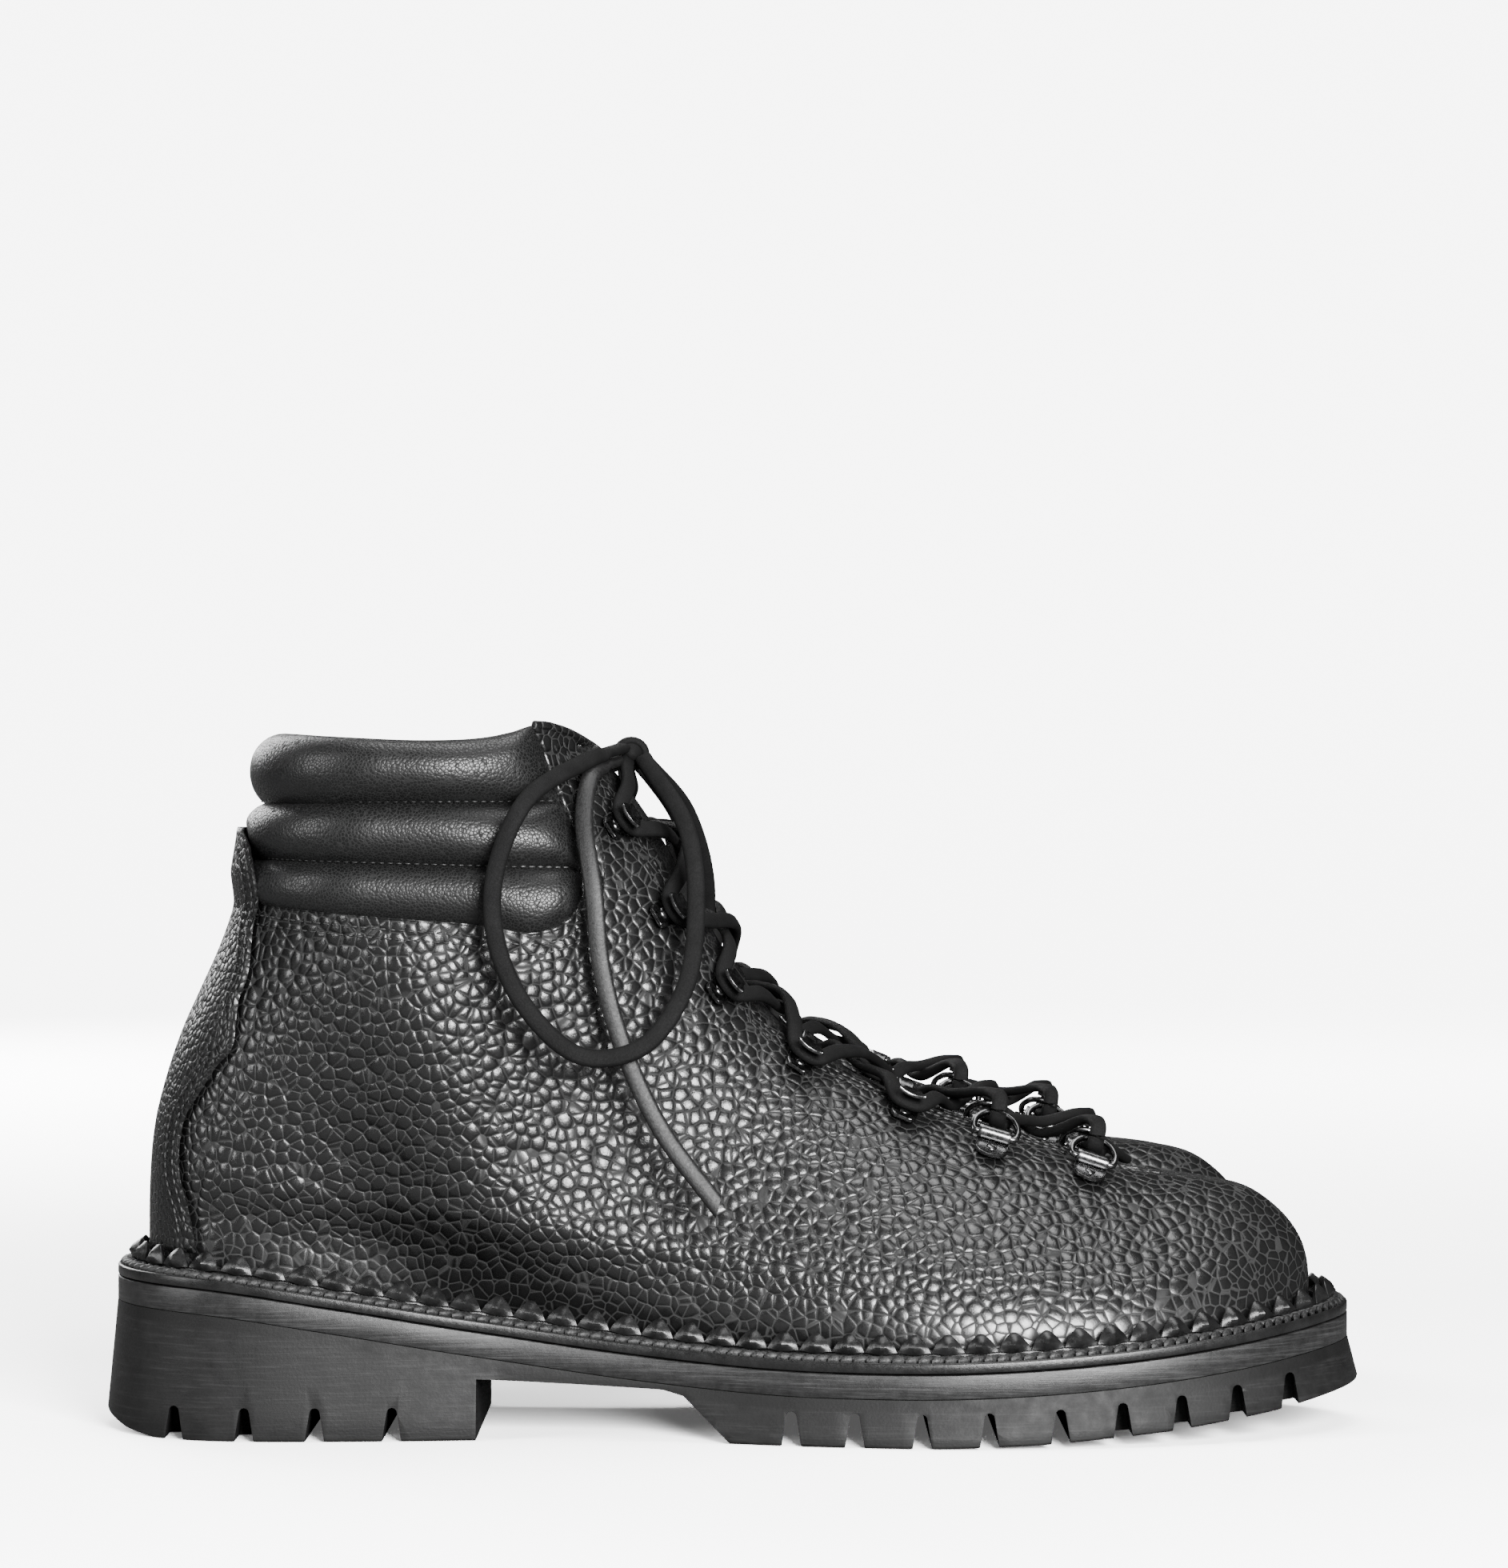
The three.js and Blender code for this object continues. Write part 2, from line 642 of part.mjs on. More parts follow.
function tongue() {
  const depth = LEATHER + LINING_GAP + LINING + LINING_GAP;
  const inner = filled(skin(depth + TONGUE_THICKNESS), 0, RISE_PAST, HOLLOW_PAST);
  const full = (face, zone) => filled(face, TONGUE_FROM, 0, RISE_PAST).subtract(inner).intersect(zone);
  const wide = full(skin(depth), throatCutter(TONGUE_MARGIN, THROAT_FROM - TONGUE_RUNS_ON));
  const crown = full(skin(TONGUE_SINK), throatCutter(-TONGUE_EASE, THROAT_FROM + TONGUE_RUNS_ON / 2));
  return geometryOf(wide.add(crown).subtract(collarZone(2 * GAP)).subtract(aboveTop));
}

// ---- The hardware.

// A seat on the upper: its point, its outward normal, the way up the facing and the way back from the throat.
function seatAt([patternX, patternZ], side) {
  const x = upperX(patternX);
  const z = gradeZ(patternZ);
  const step = 0.5;
  const slopeX = (outerSkin.sideAt(x + step, z, side) - outerSkin.sideAt(x - step, z, side)) / (2 * step);
  const slopeZ = (outerSkin.sideAt(x, z + step, side) - outerSkin.sideAt(x, z - step, side)) / (2 * step);
  const normal = vec(-slopeX, 1, -slopeZ).multiplyScalar(side).normalize();
  const away = frontLine.map((p) => Math.hypot(p.x - x, p.z - z));
  const nearest = away.indexOf(Math.min(...away));
  const along = sampleAt(frontLine, nearest / 4 + 0.4).sub(sampleAt(frontLine, nearest / 4 - 0.4));
  along.addScaledVector(normal, -along.dot(normal)).normalize();
  const rear = along.clone().cross(normal);
  if (rear.y * side < 0) rear.negate();
  const onSkin = vec(x, outerSkin.sideAt(x, z, side), z);
  let proud = 0;
  for (const back of [0, HOOK_BASE_LENGTH / 2, HOOK_BASE_LENGTH - 1]) {
    for (const up of [-HOOK_WIDTH / 2, 0, HOOK_WIDTH / 2]) {
      const p = onSkin.clone().addScaledVector(rear, back).addScaledVector(along, up);
      const skinPoint = vec(p.x, outerSkin.sideAt(p.x, p.z, side), p.z);
      proud = Math.max(proud, skinPoint.sub(p).dot(normal));
    }
  }
  const origin = onSkin.addScaledVector(normal, SEAT_LIFT + proud);
  return { origin, normal, along, rear, side, step: nearest / 4 };
}

// A point near a seat, `back` from the throat, `up` the facing and `out` from the leather.
function near(seat, back, up, out) {
  const point = seat.origin.clone().addScaledVector(seat.rear, back);
  return point.addScaledVector(seat.along, up).addScaledVector(seat.normal, out);
}

function boxAt(size, centre) {
  return new THREE.BoxGeometry(...size).translate(...centre);
}

// A lace hook, in its seat's frame: X away from the throat, Z out from the leather.
function hook() {
  const lipHeight = 3 * LACE_LIFT + 2 * LACE_RADIUS + PLATE;
  const base = boxAt([HOOK_BASE_LENGTH, HOOK_WIDTH, PLATE], [HOOK_BASE_LENGTH / 2 - PLATE, 0, PLATE / 2]);
  const neckCentre = [HOOK_NECK_LENGTH / 2, 0, lipHeight / 2 + PLATE / 10];
  const neck = boxAt([HOOK_NECK_LENGTH, HOOK_NECK_WIDTH, lipHeight], neckCentre);
  const lip = boxAt([HOOK_LIP_LENGTH, HOOK_WIDTH, PLATE], [HOOK_LIP_LENGTH / 2, 0, lipHeight]);
  return geometryOf(solidOf(base).add(solidOf(neck)).add(solidOf(lip)));
}

// A ring clip: a strip rolled round the ring's bar, with its tail riveted to the leather. Origin on the bar.
function ringClip() {
  const bore = WIRE_RADIUS + RING_PLAY;
  const roll = new THREE.CylinderGeometry(ROLL_RADIUS, ROLL_RADIUS, CLIP_WIDTH, 10);
  const tail = boxAt([CLIP_LENGTH, CLIP_WIDTH, PLATE], [CLIP_LENGTH / 2, 0, PLATE / 2 - ROLL_RADIUS]);
  const hole = new THREE.CylinderGeometry(bore, bore, 2 * CLIP_WIDTH, 10);
  return geometryOf(solidOf(roll).add(solidOf(tail)).subtract(solidOf(hole)));
}

// A D-ring of wire: a straight bar in the clip and a bow towards the throat. Origin on the bar.
function ring() {
  const bar = new THREE.CylinderGeometry(WIRE_RADIUS, WIRE_RADIUS, 2 * RING_HALF_WIDTH, 8);
  const bow = new THREE.CatmullRomCurve3([
    vec(0, -RING_HALF_WIDTH + 0.2, 0),
    vec(-RING_REACH * 0.45, -RING_HALF_WIDTH, 0),
    vec(-RING_REACH * 0.88, -RING_HALF_WIDTH * 0.6, 0),
    vec(-RING_REACH, 0, 0),
    vec(-RING_REACH * 0.88, RING_HALF_WIDTH * 0.6, 0),
    vec(-RING_REACH * 0.45, RING_HALF_WIDTH, 0),
    vec(0, RING_HALF_WIDTH - 0.2, 0),
  ]);
  return geometryOf(solidOf(cordAlong(bow, WIRE_RADIUS)).add(solidOf(bar))).rotateY(degToRad(RING_TILT));
}

// ---- The lace.

// A round cord or wire along a smooth line, with one step from each of its points to the next.
function cordAlong(curve, radius) {
  const steps = curve.points.length - 1;
  curve.getUtoTmapping = (share) => share;
  const section = new THREE.Shape();
  for (let i = 0; i < 8; i++) {
    const turn = (i * Math.PI) / 4;
    section[i ? "lineTo" : "moveTo"](radius * Math.cos(turn), radius * Math.sin(turn));
  }
  return new THREE.ExtrudeGeometry(section, { steps, extrudePath: curve, bevelEnabled: false });
}

// A point on the front of the boot at a step of its front line, `y` across, lifted clear for the lace.
function overTongue(step, y, lift) {
  const line = sampleAt(frontLine, step);
  const run = sampleAt(frontLine, step + 0.2).sub(sampleAt(frontLine, step - 0.2)).normalize();
  const inward = vec(-run.z, 0, run.x);
  const side = y < 0 ? -1 : 1;
  const point = line.clone();
  while (Math.abs(outerSkin.sideAt(point.x, point.z, side) - outerSkin.middle(point.x)) < Math.abs(y)) {
    point.addScaledVector(inward, 0.1);
  }
  const lean = THREE.MathUtils.clamp(y / 26, -1, 1);
  const out = inward.clone().multiplyScalar(-Math.sqrt(1 - lean * lean)).add(vec(0, lean, 0));
  return vec(point.x, outerSkin.middle(point.x) + y, point.z).addScaledVector(out, lift);
}

const KNOT = vec(129.5, 0, 165.5);
const OUTER_LOOP = [
  [127.5, -4, 167],
  [119, -24, 163.5],
  [105, -42, 153.5],
  [98, -45, 136],
  [98.5, -45.5, 120],
  [106, -46, 104],
  [119, -46.5, 93],
  [133, -46, 95],
  [143, -42, 108],
  [146, -33, 126],
  [144, -25, 146],
  [132.5, -4, 164.5],
];
const OUTER_TAIL = [
  [127, -4, 164],
  [120.5, -25, 160],
  [119, -34, 149],
  [121.5, -40.5, 133],
  [123.5, -42, 114],
  [129, -43, 94],
  [138, -44, 75],
  [151.5, -46, 57],
];
const INNER_LOOP = [
  [128, 4, 166.5],
  [119.5, 25, 162],
  [111, 37, 148],
  [110, 41.5, 130],
  [114, 42, 112],
  [124, 42, 100],
  [136, 41, 100],
  [145, 37, 113],
  [148, 29, 131],
  [143, 18, 151],
  [132.5, 4, 164],
];
const INNER_TAIL = [
  [127.5, 4, 163.5],
  [120, 26, 159],
  [119, 35, 147],
  [123, 38.5, 129],
  [130, 40, 108],
  [138, 41, 90],
  [146, 42, 75],
];

const curveOf = (points) => {
  const knots = points.map((p) => (p.isVector3 ? p : vec(...p)));
  return new THREE.CatmullRomCurve3(knots, false, "centripetal");
};

// One end of the lace, from the middle of the lowest crossing, changing sides from each seat to the next.
function lacedEnd(startSide) {
  const clear = LACE_RADIUS + LACE_LIFT;
  const over = startSide > 0 ? 2 * LACE_RADIUS + LACE_LIFT : 0;
  const seats = [...RING_SEATS, ...HOOK_SEATS];
  const points = [overTongue(THROAT_FROM + 0.5, 0, clear)];
  seats.forEach((place, row) => {
    const side = row % 2 ? -startSide : startSide;
    const seat = seatAt(place, side);
    if (row < RING_SEATS.length) {
      points.push(near(seat, -RING_REACH * 1.35, -2.4, 1.9));
      points.push(near(seat, -RING_REACH * 0.85, -0.6, 1.25));
      points.push(near(seat, -RING_REACH * 0.5, 0.2, 4.2));
      points.push(near(seat, -RING_REACH * 0.85, 1, 8.6));
      points.push(near(seat, -RING_REACH * 1.6, 3.6, 7));
    } else {
      const behind = HOOK_NECK_LENGTH + LACE_LIFT + LACE_RADIUS;
      const level = PLATE + LACE_LIFT + LACE_RADIUS;
      points.push(near(seat, -4.6, -6.4, level));
      points.push(near(seat, behind, -2.6, level));
      points.push(near(seat, behind, 2.6, level));
      points.push(near(seat, -4.6, 6.4, level));
    }
    if (row + 1 < seats.length) {
      const middle = (seat.step + seatAt(seats[row + 1], -side).step) / 2;
      points.push(overTongue(middle, 0, clear + over));
    }
  });
  points.push(overTongue(14, startSide * 5, clear + 1.5));
  points.push(KNOT.clone());
  return points;
}

function lace() {
  const routes = [lacedEnd(-1), lacedEnd(1), OUTER_LOOP, OUTER_TAIL, INNER_LOOP, INNER_TAIL];
  let whole = solidOf(new THREE.SphereGeometry(1, 10, 6).scale(5, 6.5, 4.2).translate(...KNOT.toArray()));
  for (const route of routes) whole = whole.add(solidOf(cordAlong(curveOf(route), LACE_RADIUS)));
  return geometryOf(whole);
}

// ---- The boots, each with its pieces, and the pair.

const finish = (color, roughness, metalness = 0) => {
  return new THREE.MeshStandardMaterial({ color, roughness, metalness });
};
const GRAIN = finish(0x17171a, 0.42);
const SMOOTH = finish(0x1c1c1e, 0.35);
const LINING_LEATHER = finish(0x2b2a28, 0.7);
const SOLE_RUBBER = finish(0x2a2a2b, 0.75);
const SOLE_LEATHER = finish(0x3c3c3d, 0.5);
const BOARD = finish(0x6e5d48, 0.85);
const NICKEL = finish(0x3a3b3e, 0.3, 0.9);
const STEEL = finish(0x8b8d90, 0.4, 0.9);

const PIECES = [
  ["outsole", outsole(), SOLE_RUBBER],
  ["midsole", midsole(), SOLE_LEATHER],
  ["shank", shankPlate(0, 0), STEEL],
  ["storm_welt", stormWelt(), SOLE_LEATHER],
  ["insole_board", insoleBoard(), BOARD],
  ["footbed", footbed(), LINING_LEATHER],
  ["upper", upper(), GRAIN],
  ["lining", lining(), LINING_LEATHER],
  ["backstay", backstay(), SMOOTH],
  ["collar", collar(), SMOOTH],
  ["tongue", tongue(), SMOOTH],
  ["lace", lace(), SMOOTH],
];
const HOOK = hook();
const CLIP = ringClip();
const RING = ring();

function placed(name, geometry, material, seat, out) {
  const mesh = new THREE.Mesh(geometry, material);
  mesh.name = name;
  const across = seat.normal.clone().cross(seat.rear);
  mesh.quaternion.setFromRotationMatrix(new THREE.Matrix4().makeBasis(seat.rear, across, seat.normal));
  mesh.position.copy(near(seat, 0, 0, out));
  return mesh;
}

function boot(name, mirror, x, y) {
  const group = new THREE.Group();
  group.position.set(x, y, 0);
  group.scale.y = mirror;
  for (const [piece, geometry, material] of PIECES) {
    const mesh = new THREE.Mesh(geometry, material);
    mesh.name = `${name}_${piece}`;
    group.add(mesh);
  }
  for (const [place, side] of [["outer", -1], ["inner", 1]]) {
    HOOK_SEATS.forEach((seat, i) => {
      group.add(placed(`${name}_${place}_hook_${i + 1}`, HOOK, NICKEL, seatAt(seat, side), 0));
    });
    RING_SEATS.forEach((seat, i) => {
      const at = seatAt(seat, side);
      group.add(placed(`${name}_${place}_ring_clip_${i + 1}`, CLIP, NICKEL, at, ROLL_RADIUS));
      group.add(placed(`${name}_${place}_ring_${i + 1}`, RING, NICKEL, at, ROLL_RADIUS));
    });
  }
  return group;
}

const group = new THREE.Group();
const middleX = -BOOT_LENGTH / 2;
group.add(boot("right", 1, middleX + PAIR_STAGGER / 2, -PAIR_SPACING / 2));
group.add(boot("left", -1, middleX - PAIR_STAGGER / 2, PAIR_SPACING / 2));

export default group;
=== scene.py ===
import math

import bpy
import numpy as np
from mathutils import Matrix, Vector


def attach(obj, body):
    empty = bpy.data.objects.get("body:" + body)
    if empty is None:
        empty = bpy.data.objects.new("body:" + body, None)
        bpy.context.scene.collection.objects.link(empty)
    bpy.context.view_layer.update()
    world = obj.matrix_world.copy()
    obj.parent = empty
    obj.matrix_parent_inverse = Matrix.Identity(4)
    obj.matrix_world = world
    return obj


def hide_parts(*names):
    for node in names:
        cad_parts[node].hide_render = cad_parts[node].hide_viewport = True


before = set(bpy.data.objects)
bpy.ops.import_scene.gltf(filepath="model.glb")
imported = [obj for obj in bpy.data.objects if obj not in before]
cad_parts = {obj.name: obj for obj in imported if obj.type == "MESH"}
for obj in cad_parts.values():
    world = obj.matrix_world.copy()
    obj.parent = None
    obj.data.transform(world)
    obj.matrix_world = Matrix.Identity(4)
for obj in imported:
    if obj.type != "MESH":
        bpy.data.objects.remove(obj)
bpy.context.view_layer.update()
bpy.ops.object.select_all(action="DESELECT")

# ---- Studio: a pale floor that sweeps up into the backdrop, a softbox ahead and to the right of the boots,
# weaker ones from the left, from behind and from above, and a camera at ankle height, square on to the pair.
FLOOR_HALF = 4.0
FLOOR_FRONT = 3.0
FLOOR_SINK = 0.0002
SWEEP_AT = 2.2
SWEEP_RADIUS = 1.2
WALL_HEIGHT = 3.0


def points_of(piece):
    """A piece's points, as rows of x, y and z."""
    co = np.empty(len(piece.data.vertices) * 3)
    piece.data.vertices.foreach_get("co", co)
    return co.reshape(-1, 3)


bpy.ops.mesh.primitive_grid_add(x_subdivisions=8, y_subdivisions=48, size=1)
floor = bpy.context.object
floor.name = "studio_floor"
run = points_of(floor)
flat_part = SWEEP_AT + FLOOR_FRONT
curved_part = SWEEP_RADIUS * math.pi / 2
way = (run[:, 1] + 0.5) * (flat_part + curved_part + WALL_HEIGHT)
turn = np.clip((way - flat_part) / SWEEP_RADIUS, 0, math.pi / 2)
past = np.maximum(way - flat_part - curved_part, 0)
run[:, 0] *= 2 * FLOOR_HALF
run[:, 1] = np.minimum(way, flat_part) - FLOOR_FRONT + SWEEP_RADIUS * np.sin(turn)
run[:, 2] = SWEEP_RADIUS * (1 - np.cos(turn)) + past - FLOOR_SINK
floor.data.vertices.foreach_set("co", run.ravel())
bpy.ops.object.shade_smooth()

paper = bpy.data.materials.new("backdrop_paper")
paper.use_nodes = True
nodes, links = paper.node_tree.nodes, paper.node_tree.links
nodes.clear()
# To the camera the paper is white, and it glows more the further it lies from the boots, as a backdrop with
# its own lamps does. To the boots it is dark, so that black leather stays black.
seen_white = nodes.new("ShaderNodeBsdfDiffuse")
seen_white.inputs["Color"].default_value = (3.3, 3.3, 3.3, 1)
glow = nodes.new("ShaderNodeEmission")
spot = nodes.new("ShaderNodeTexCoord")
reach = nodes.new("ShaderNodeVectorMath")
reach.operation = "LENGTH"
far = nodes.new("ShaderNodeMapRange")
far.interpolation_type = "SMOOTHSTEP"
far.inputs["From Min"].default_value = 0.2
far.inputs["From Max"].default_value = 1.6
far.inputs["To Min"].default_value = 0.1
far.inputs["To Max"].default_value = 6.0
seen_dark = nodes.new("ShaderNodeBsdfDiffuse")
seen_dark.inputs["Color"].default_value = (0.16, 0.16, 0.16, 1)
both = nodes.new("ShaderNodeAddShader")
rays = nodes.new("ShaderNodeLightPath")
chosen = nodes.new("ShaderNodeMixShader")
sheet_out = nodes.new("ShaderNodeOutputMaterial")
links.new(spot.outputs["Object"], reach.inputs[0])
links.new(reach.outputs["Value"], far.inputs["Value"])
links.new(far.outputs[0], glow.inputs["Strength"])
links.new(seen_white.outputs[0], both.inputs[0])
links.new(glow.outputs[0], both.inputs[1])
links.new(rays.outputs["Is Camera Ray"], chosen.inputs["Fac"])
links.new(seen_dark.outputs[0], chosen.inputs[1])
links.new(both.outputs[0], chosen.inputs[2])
links.new(chosen.outputs[0], sheet_out.inputs["Surface"])
floor.data.materials.append(paper)

world = bpy.data.worlds.new("studio")
bpy.context.scene.world = world
world.use_nodes = True
world.node_tree.nodes["Background"].inputs["Color"].default_value = (1, 1, 1, 1)
world.node_tree.nodes["Background"].inputs["Strength"].default_value = 0.1

# Each softbox: its name, where it stands, where it aims, its width and height in metres, and its power.
SOFTBOXES = [
    ("key", (0.45, -1.32, 0.45), (0.0, -0.06, 0.07), 0.55, 0.55, 60),
    ("left_strip", (-1.1, -0.55, 0.55), (-0.1, -0.06, 0.1), 0.3, 0.9, 9),
    ("rear_fill", (-0.9, 1.35, 0.8), (0.0, 0.0, 0.08), 0.9, 0.9, 26),
    ("overhead", (0.15, 0.05, 1.5), (0.05, -0.03, 0.0), 1.3, 0.7, 17),
]
for name, place, aim, wide, tall, power in SOFTBOXES:
    bpy.ops.object.light_add(type="AREA", location=place)
    box = bpy.context.object
    box.name = name
    box.data.shape = "RECTANGLE"
    box.data.size = wide
    box.data.size_y = tall
    box.data.energy = power
    box.rotation_euler = (Vector(aim) - Vector(place)).to_track_quat("-Z", "Y").to_euler()

bpy.ops.object.camera_add(location=(0.007, -1.26, 0.158), rotation=(math.pi / 2, 0, 0))
camera = bpy.context.object
camera.data.lens = 111
camera.data.sensor_width = 36
bpy.context.scene.camera = camera

# ---- Outsole: one moulding of black rubber, heel block and forefoot in one, with an arch between them. Its
# lugs are parted by grooves, open at the sides. It is trimmed flush with the leather above it and buffed.
MM = 0.001
RIGHT_STANDS = (-153, -60, 0)
LEFT_STANDS = (-157, 60, 0)
GAP = 0.3
HEEL_RADIUS = 39
TOE_SWING = 5
BOOT_LENGTH = 310
OUTLINE_ROWS = [
    [70, 38.5, 37.5],
    [105, 36, 32.5],
    [140, 39, 32.5],
    [175, 48, 40],
    [205, 52.5, 47],
    [235, 51, 49.5],
    [262, 45, 47.5],
    [285, 34, 40],
    [300, 21, 29.5],
    [307.4, 9.5, 19],
]
WELT_LINE = [
    [0, 40],
    [30, 38.4],
    [60, 34],
    [93, 28.5],
    [130, 23.2],
    [160, 20.6],
    [187, 20],
    [215, 20.4],
    [245, 22.2],
    [275, 25.4],
    [310, 30.6],
]
TREAD_LINE = [[0, 4], [7, 1.2], [14, 0], [205, 0], [230, 0.9], [260, 3.4], [285, 6.6], [310, 11]]
SOLE_SLOPE = 2.5
WELT_THICKNESS = 2.6
MIDSOLE_THICKNESS = 5.6
ARCH = [[93, -1], [154, -1], [154, 0.2], [143, 10.8], [138, 12.2], [93, 14.5]]
GROOVE_DEPTH = 8
GROOVE_ROOT = 2.5
GROOVE_MOUTH = 5.6
GROOVE_REACH = 13
THROUGH_GROOVES = [54.4, 72.9, 168.9, 184, 200, 216, 233]
SIDE_NOTCHES = [20, 37.4, 248, 262.4, 276.3, 289.8]
AROUND = 240


def smooth_line(points, fine=16, closed=False):
    """A smooth line through points, with `fine` steps to each span."""
    p = np.array(points, float)
    ends = (p[-1:], p[:2]) if closed else (2 * p[:1] - p[1:2], 2 * p[-1:] - p[-2:-1])
    p = np.vstack([ends[0], p, ends[1]])
    share = (np.arange(fine) / fine)[:, None]
    made = []
    for a, b, c, d in zip(p[:-3], p[1:-2], p[2:-1], p[3:]):
        ab, bc, cd = (max(float(np.linalg.norm(r)), 1e-6) ** 0.5 for r in (b - a, c - b, d - c))
        leave = ((b - a) / ab - (c - a) / (ab + bc) + (c - b) / bc) * bc
        reach = ((c - b) / bc - (d - b) / (bc + cd) + (d - c) / cd) * bc
        made.append(
            b
            + leave * share
            + (3 * (c - b) - 2 * leave - reach) * share**2
            + (2 * (b - c) + leave + reach) * share**3
        )
    if not closed:
        made.append(p[-2:-1])
    return np.vstack(made)


def lerp(a, b, share):
    """The value that lies `share` of the way from a to b."""
    return a + (b - a) * share


def smoothstep(x, low, high):
    share = np.clip((x - low) / (high - low), 0, 1)
    return share * share * (3 - 2 * share)


def middle(x):
    """The sole's middle line, which swings towards the medial side at the toe."""
    return TOE_SWING * smoothstep(x, 180, BOOT_LENGTH)


welt_line = smooth_line(WELT_LINE)
tread_line = np.array(TREAD_LINE, float)


def welt_height(x):
    return np.interp(x, welt_line[:, 0], welt_line[:, 1])


def tread_height(x):
    return np.interp(x, tread_line[:, 0], tread_line[:, 1])


def midsole_top(x):
    return welt_height(x) - WELT_THICKNESS - GAP


def outsole_top(x):
    return midsole_top(x) - MIDSOLE_THICKNESS - GAP


heel_arc = [
    [HEEL_RADIUS * (1 - math.cos(math.radians(a)))] + [HEEL_RADIUS * math.sin(math.radians(a))] * 2
    for a in (22.5, 45, 67.5, 90)
]
sides = heel_arc + OUTLINE_ROWS
sole_knots = (
    [[0, 0]]
    + [[x, -lateral] for x, lateral, _ in sides]
    + [[BOOT_LENGTH, TOE_SWING]]
    + [[x, medial] for x, _, medial in reversed(sides)]
)
sole_outline = smooth_line(sole_knots, 24, closed=True)


def sole_sides(inset):
    """The lateral and the medial half of the sole's outline, moved in by `inset`, each from heel to toe."""
    along = np.roll(sole_outline, -1, axis=0) - np.roll(sole_outline, 1, axis=0)
    along /= np.linalg.norm(along, axis=1)[:, None]
    line = sole_outline + inset * np.stack([-along[:, 1], along[:, 0]], axis=1)
    tip = int(np.argmax(line[:, 0]))
    lateral = line[: tip + 1]
    medial = np.vstack([line[tip:], line[:1]])[::-1]
    return [np.stack([np.maximum.accumulate(s[:, 0]), s[:, 1]], axis=1) for s in (lateral, medial)]


def sole_ring(inset, height, toward_middle=0.0, count=AROUND):
    """A ring of points round the sole: heel, lateral side, toe, medial side."""
    lateral, medial = sole_sides(inset)
    angle = 2 * math.pi * np.arange(count) / count
    heel, toe = lateral[0, 0], lateral[-1, 0]
    x = lerp(heel, toe, (1 - np.cos(angle)) / 2)
    y = np.where(
        angle < math.pi,
        np.interp(x, lateral[:, 0], lateral[:, 1]),
        np.interp(x, medial[:, 0], medial[:, 1]),
    )
    y = lerp(y, middle(x), toward_middle)
    return np.stack([x, y, height(x)], axis=1)


def edit(piece):
    """Opens a piece for editing, with all of it selected."""
    bpy.ops.object.select_all(action="DESELECT")
    bpy.context.view_layer.objects.active = piece
    piece.select_set(True)
    bpy.ops.object.mode_set(mode="EDIT")
    bpy.ops.mesh.select_all(action="SELECT")


def close_up(piece, angle=35):
    """Merges doubles, turns the faces outwards and shades the piece smooth, sharp past `angle`."""
    edit(piece)
    bpy.ops.mesh.remove_doubles(threshold=2e-6)
    bpy.ops.mesh.normals_make_consistent(inside=False)
    bpy.ops.object.mode_set(mode="OBJECT")
    bpy.ops.object.shade_smooth_by_angle(angle=math.radians(angle))


def loft(name, rings, round_trip=True, closed=False, angle=35):
    """A grid drawn over rings of points in millimetres. A round trip closes each ring, and `closed` joins the
    last ring to the first."""
    rings = np.array(rings, float)
    if round_trip:
        rings = np.concatenate([rings, rings[:, :1]], axis=1)
    if closed:
        rings = np.concatenate([rings, rings[:1]], axis=0)
    levels, count = rings.shape[:2]
    bpy.ops.object.select_all(action="DESELECT")
    bpy.ops.mesh.primitive_grid_add(x_subdivisions=count - 1, y_subdivisions=levels - 1, size=1)
    piece = bpy.context.object
    piece.name = name
    piece.data.vertices.foreach_set("co", (rings * MM).ravel())
    close_up(piece, angle)
    return piece


def prism(outline, low, high):
    """An outline of [x, z] points as a block from y = low to y = high."""
    bpy.ops.object.select_all(action="DESELECT")
    bpy.ops.mesh.primitive_circle_add(vertices=len(outline), fill_type="NGON")
    block = bpy.context.object
    co = [c * MM for x, z in outline for c in (x, low, z)]
    block.data.vertices.foreach_set("co", co)
    edit(block)
    bpy.ops.mesh.extrude_region_move(TRANSFORM_OT_translate={"value": (0, (high - low) * MM, 0)})
    bpy.ops.mesh.select_all(action="SELECT")
    bpy.ops.mesh.normals_make_consistent(inside=False)
    bpy.ops.object.mode_set(mode="OBJECT")
    return block


def apply(piece, modifier):
    """Makes a modifier's shape the piece's own."""
    bpy.ops.object.select_all(action="DESELECT")
    bpy.context.view_layer.objects.active = piece
    piece.select_set(True)
    bpy.ops.object.modifier_apply(modifier=modifier.name)


def cut(piece, tool):
    """Takes the tool's shape away from the piece, and the tool with it."""
    boolean = piece.modifiers.new("cut", "BOOLEAN")
    boolean.object = tool
    boolean.solver = "MANIFOLD"
    boolean.operation = "DIFFERENCE"
    apply(piece, boolean)
    bpy.data.objects.remove(tool)


def ease(piece, width, segments=2):
    """Rounds a piece's sharp edges, `width` in the piece's own units."""
    bevel = piece.modifiers.new("round", "BEVEL")
    bevel.width = width
    bevel.segments = segments
    bevel.limit_method = "ANGLE"
    bevel.angle_limit = math.radians(50)
    apply(piece, bevel)


def join(pieces, name):
    """Joins pieces into the first of them, under a name."""
    bpy.ops.object.select_all(action="DESELECT")
    for piece in pieces:
        piece.select_set(True)
    bpy.context.view_layer.objects.active = pieces[0]
    if len(pieces) > 1:
        bpy.ops.object.join()
    pieces[0].name = name
    return pieces[0]


def copy_of(piece):
    twin = piece.copy()
    twin.data = piece.data.copy()
    bpy.context.scene.collection.objects.link(twin)
    return twin


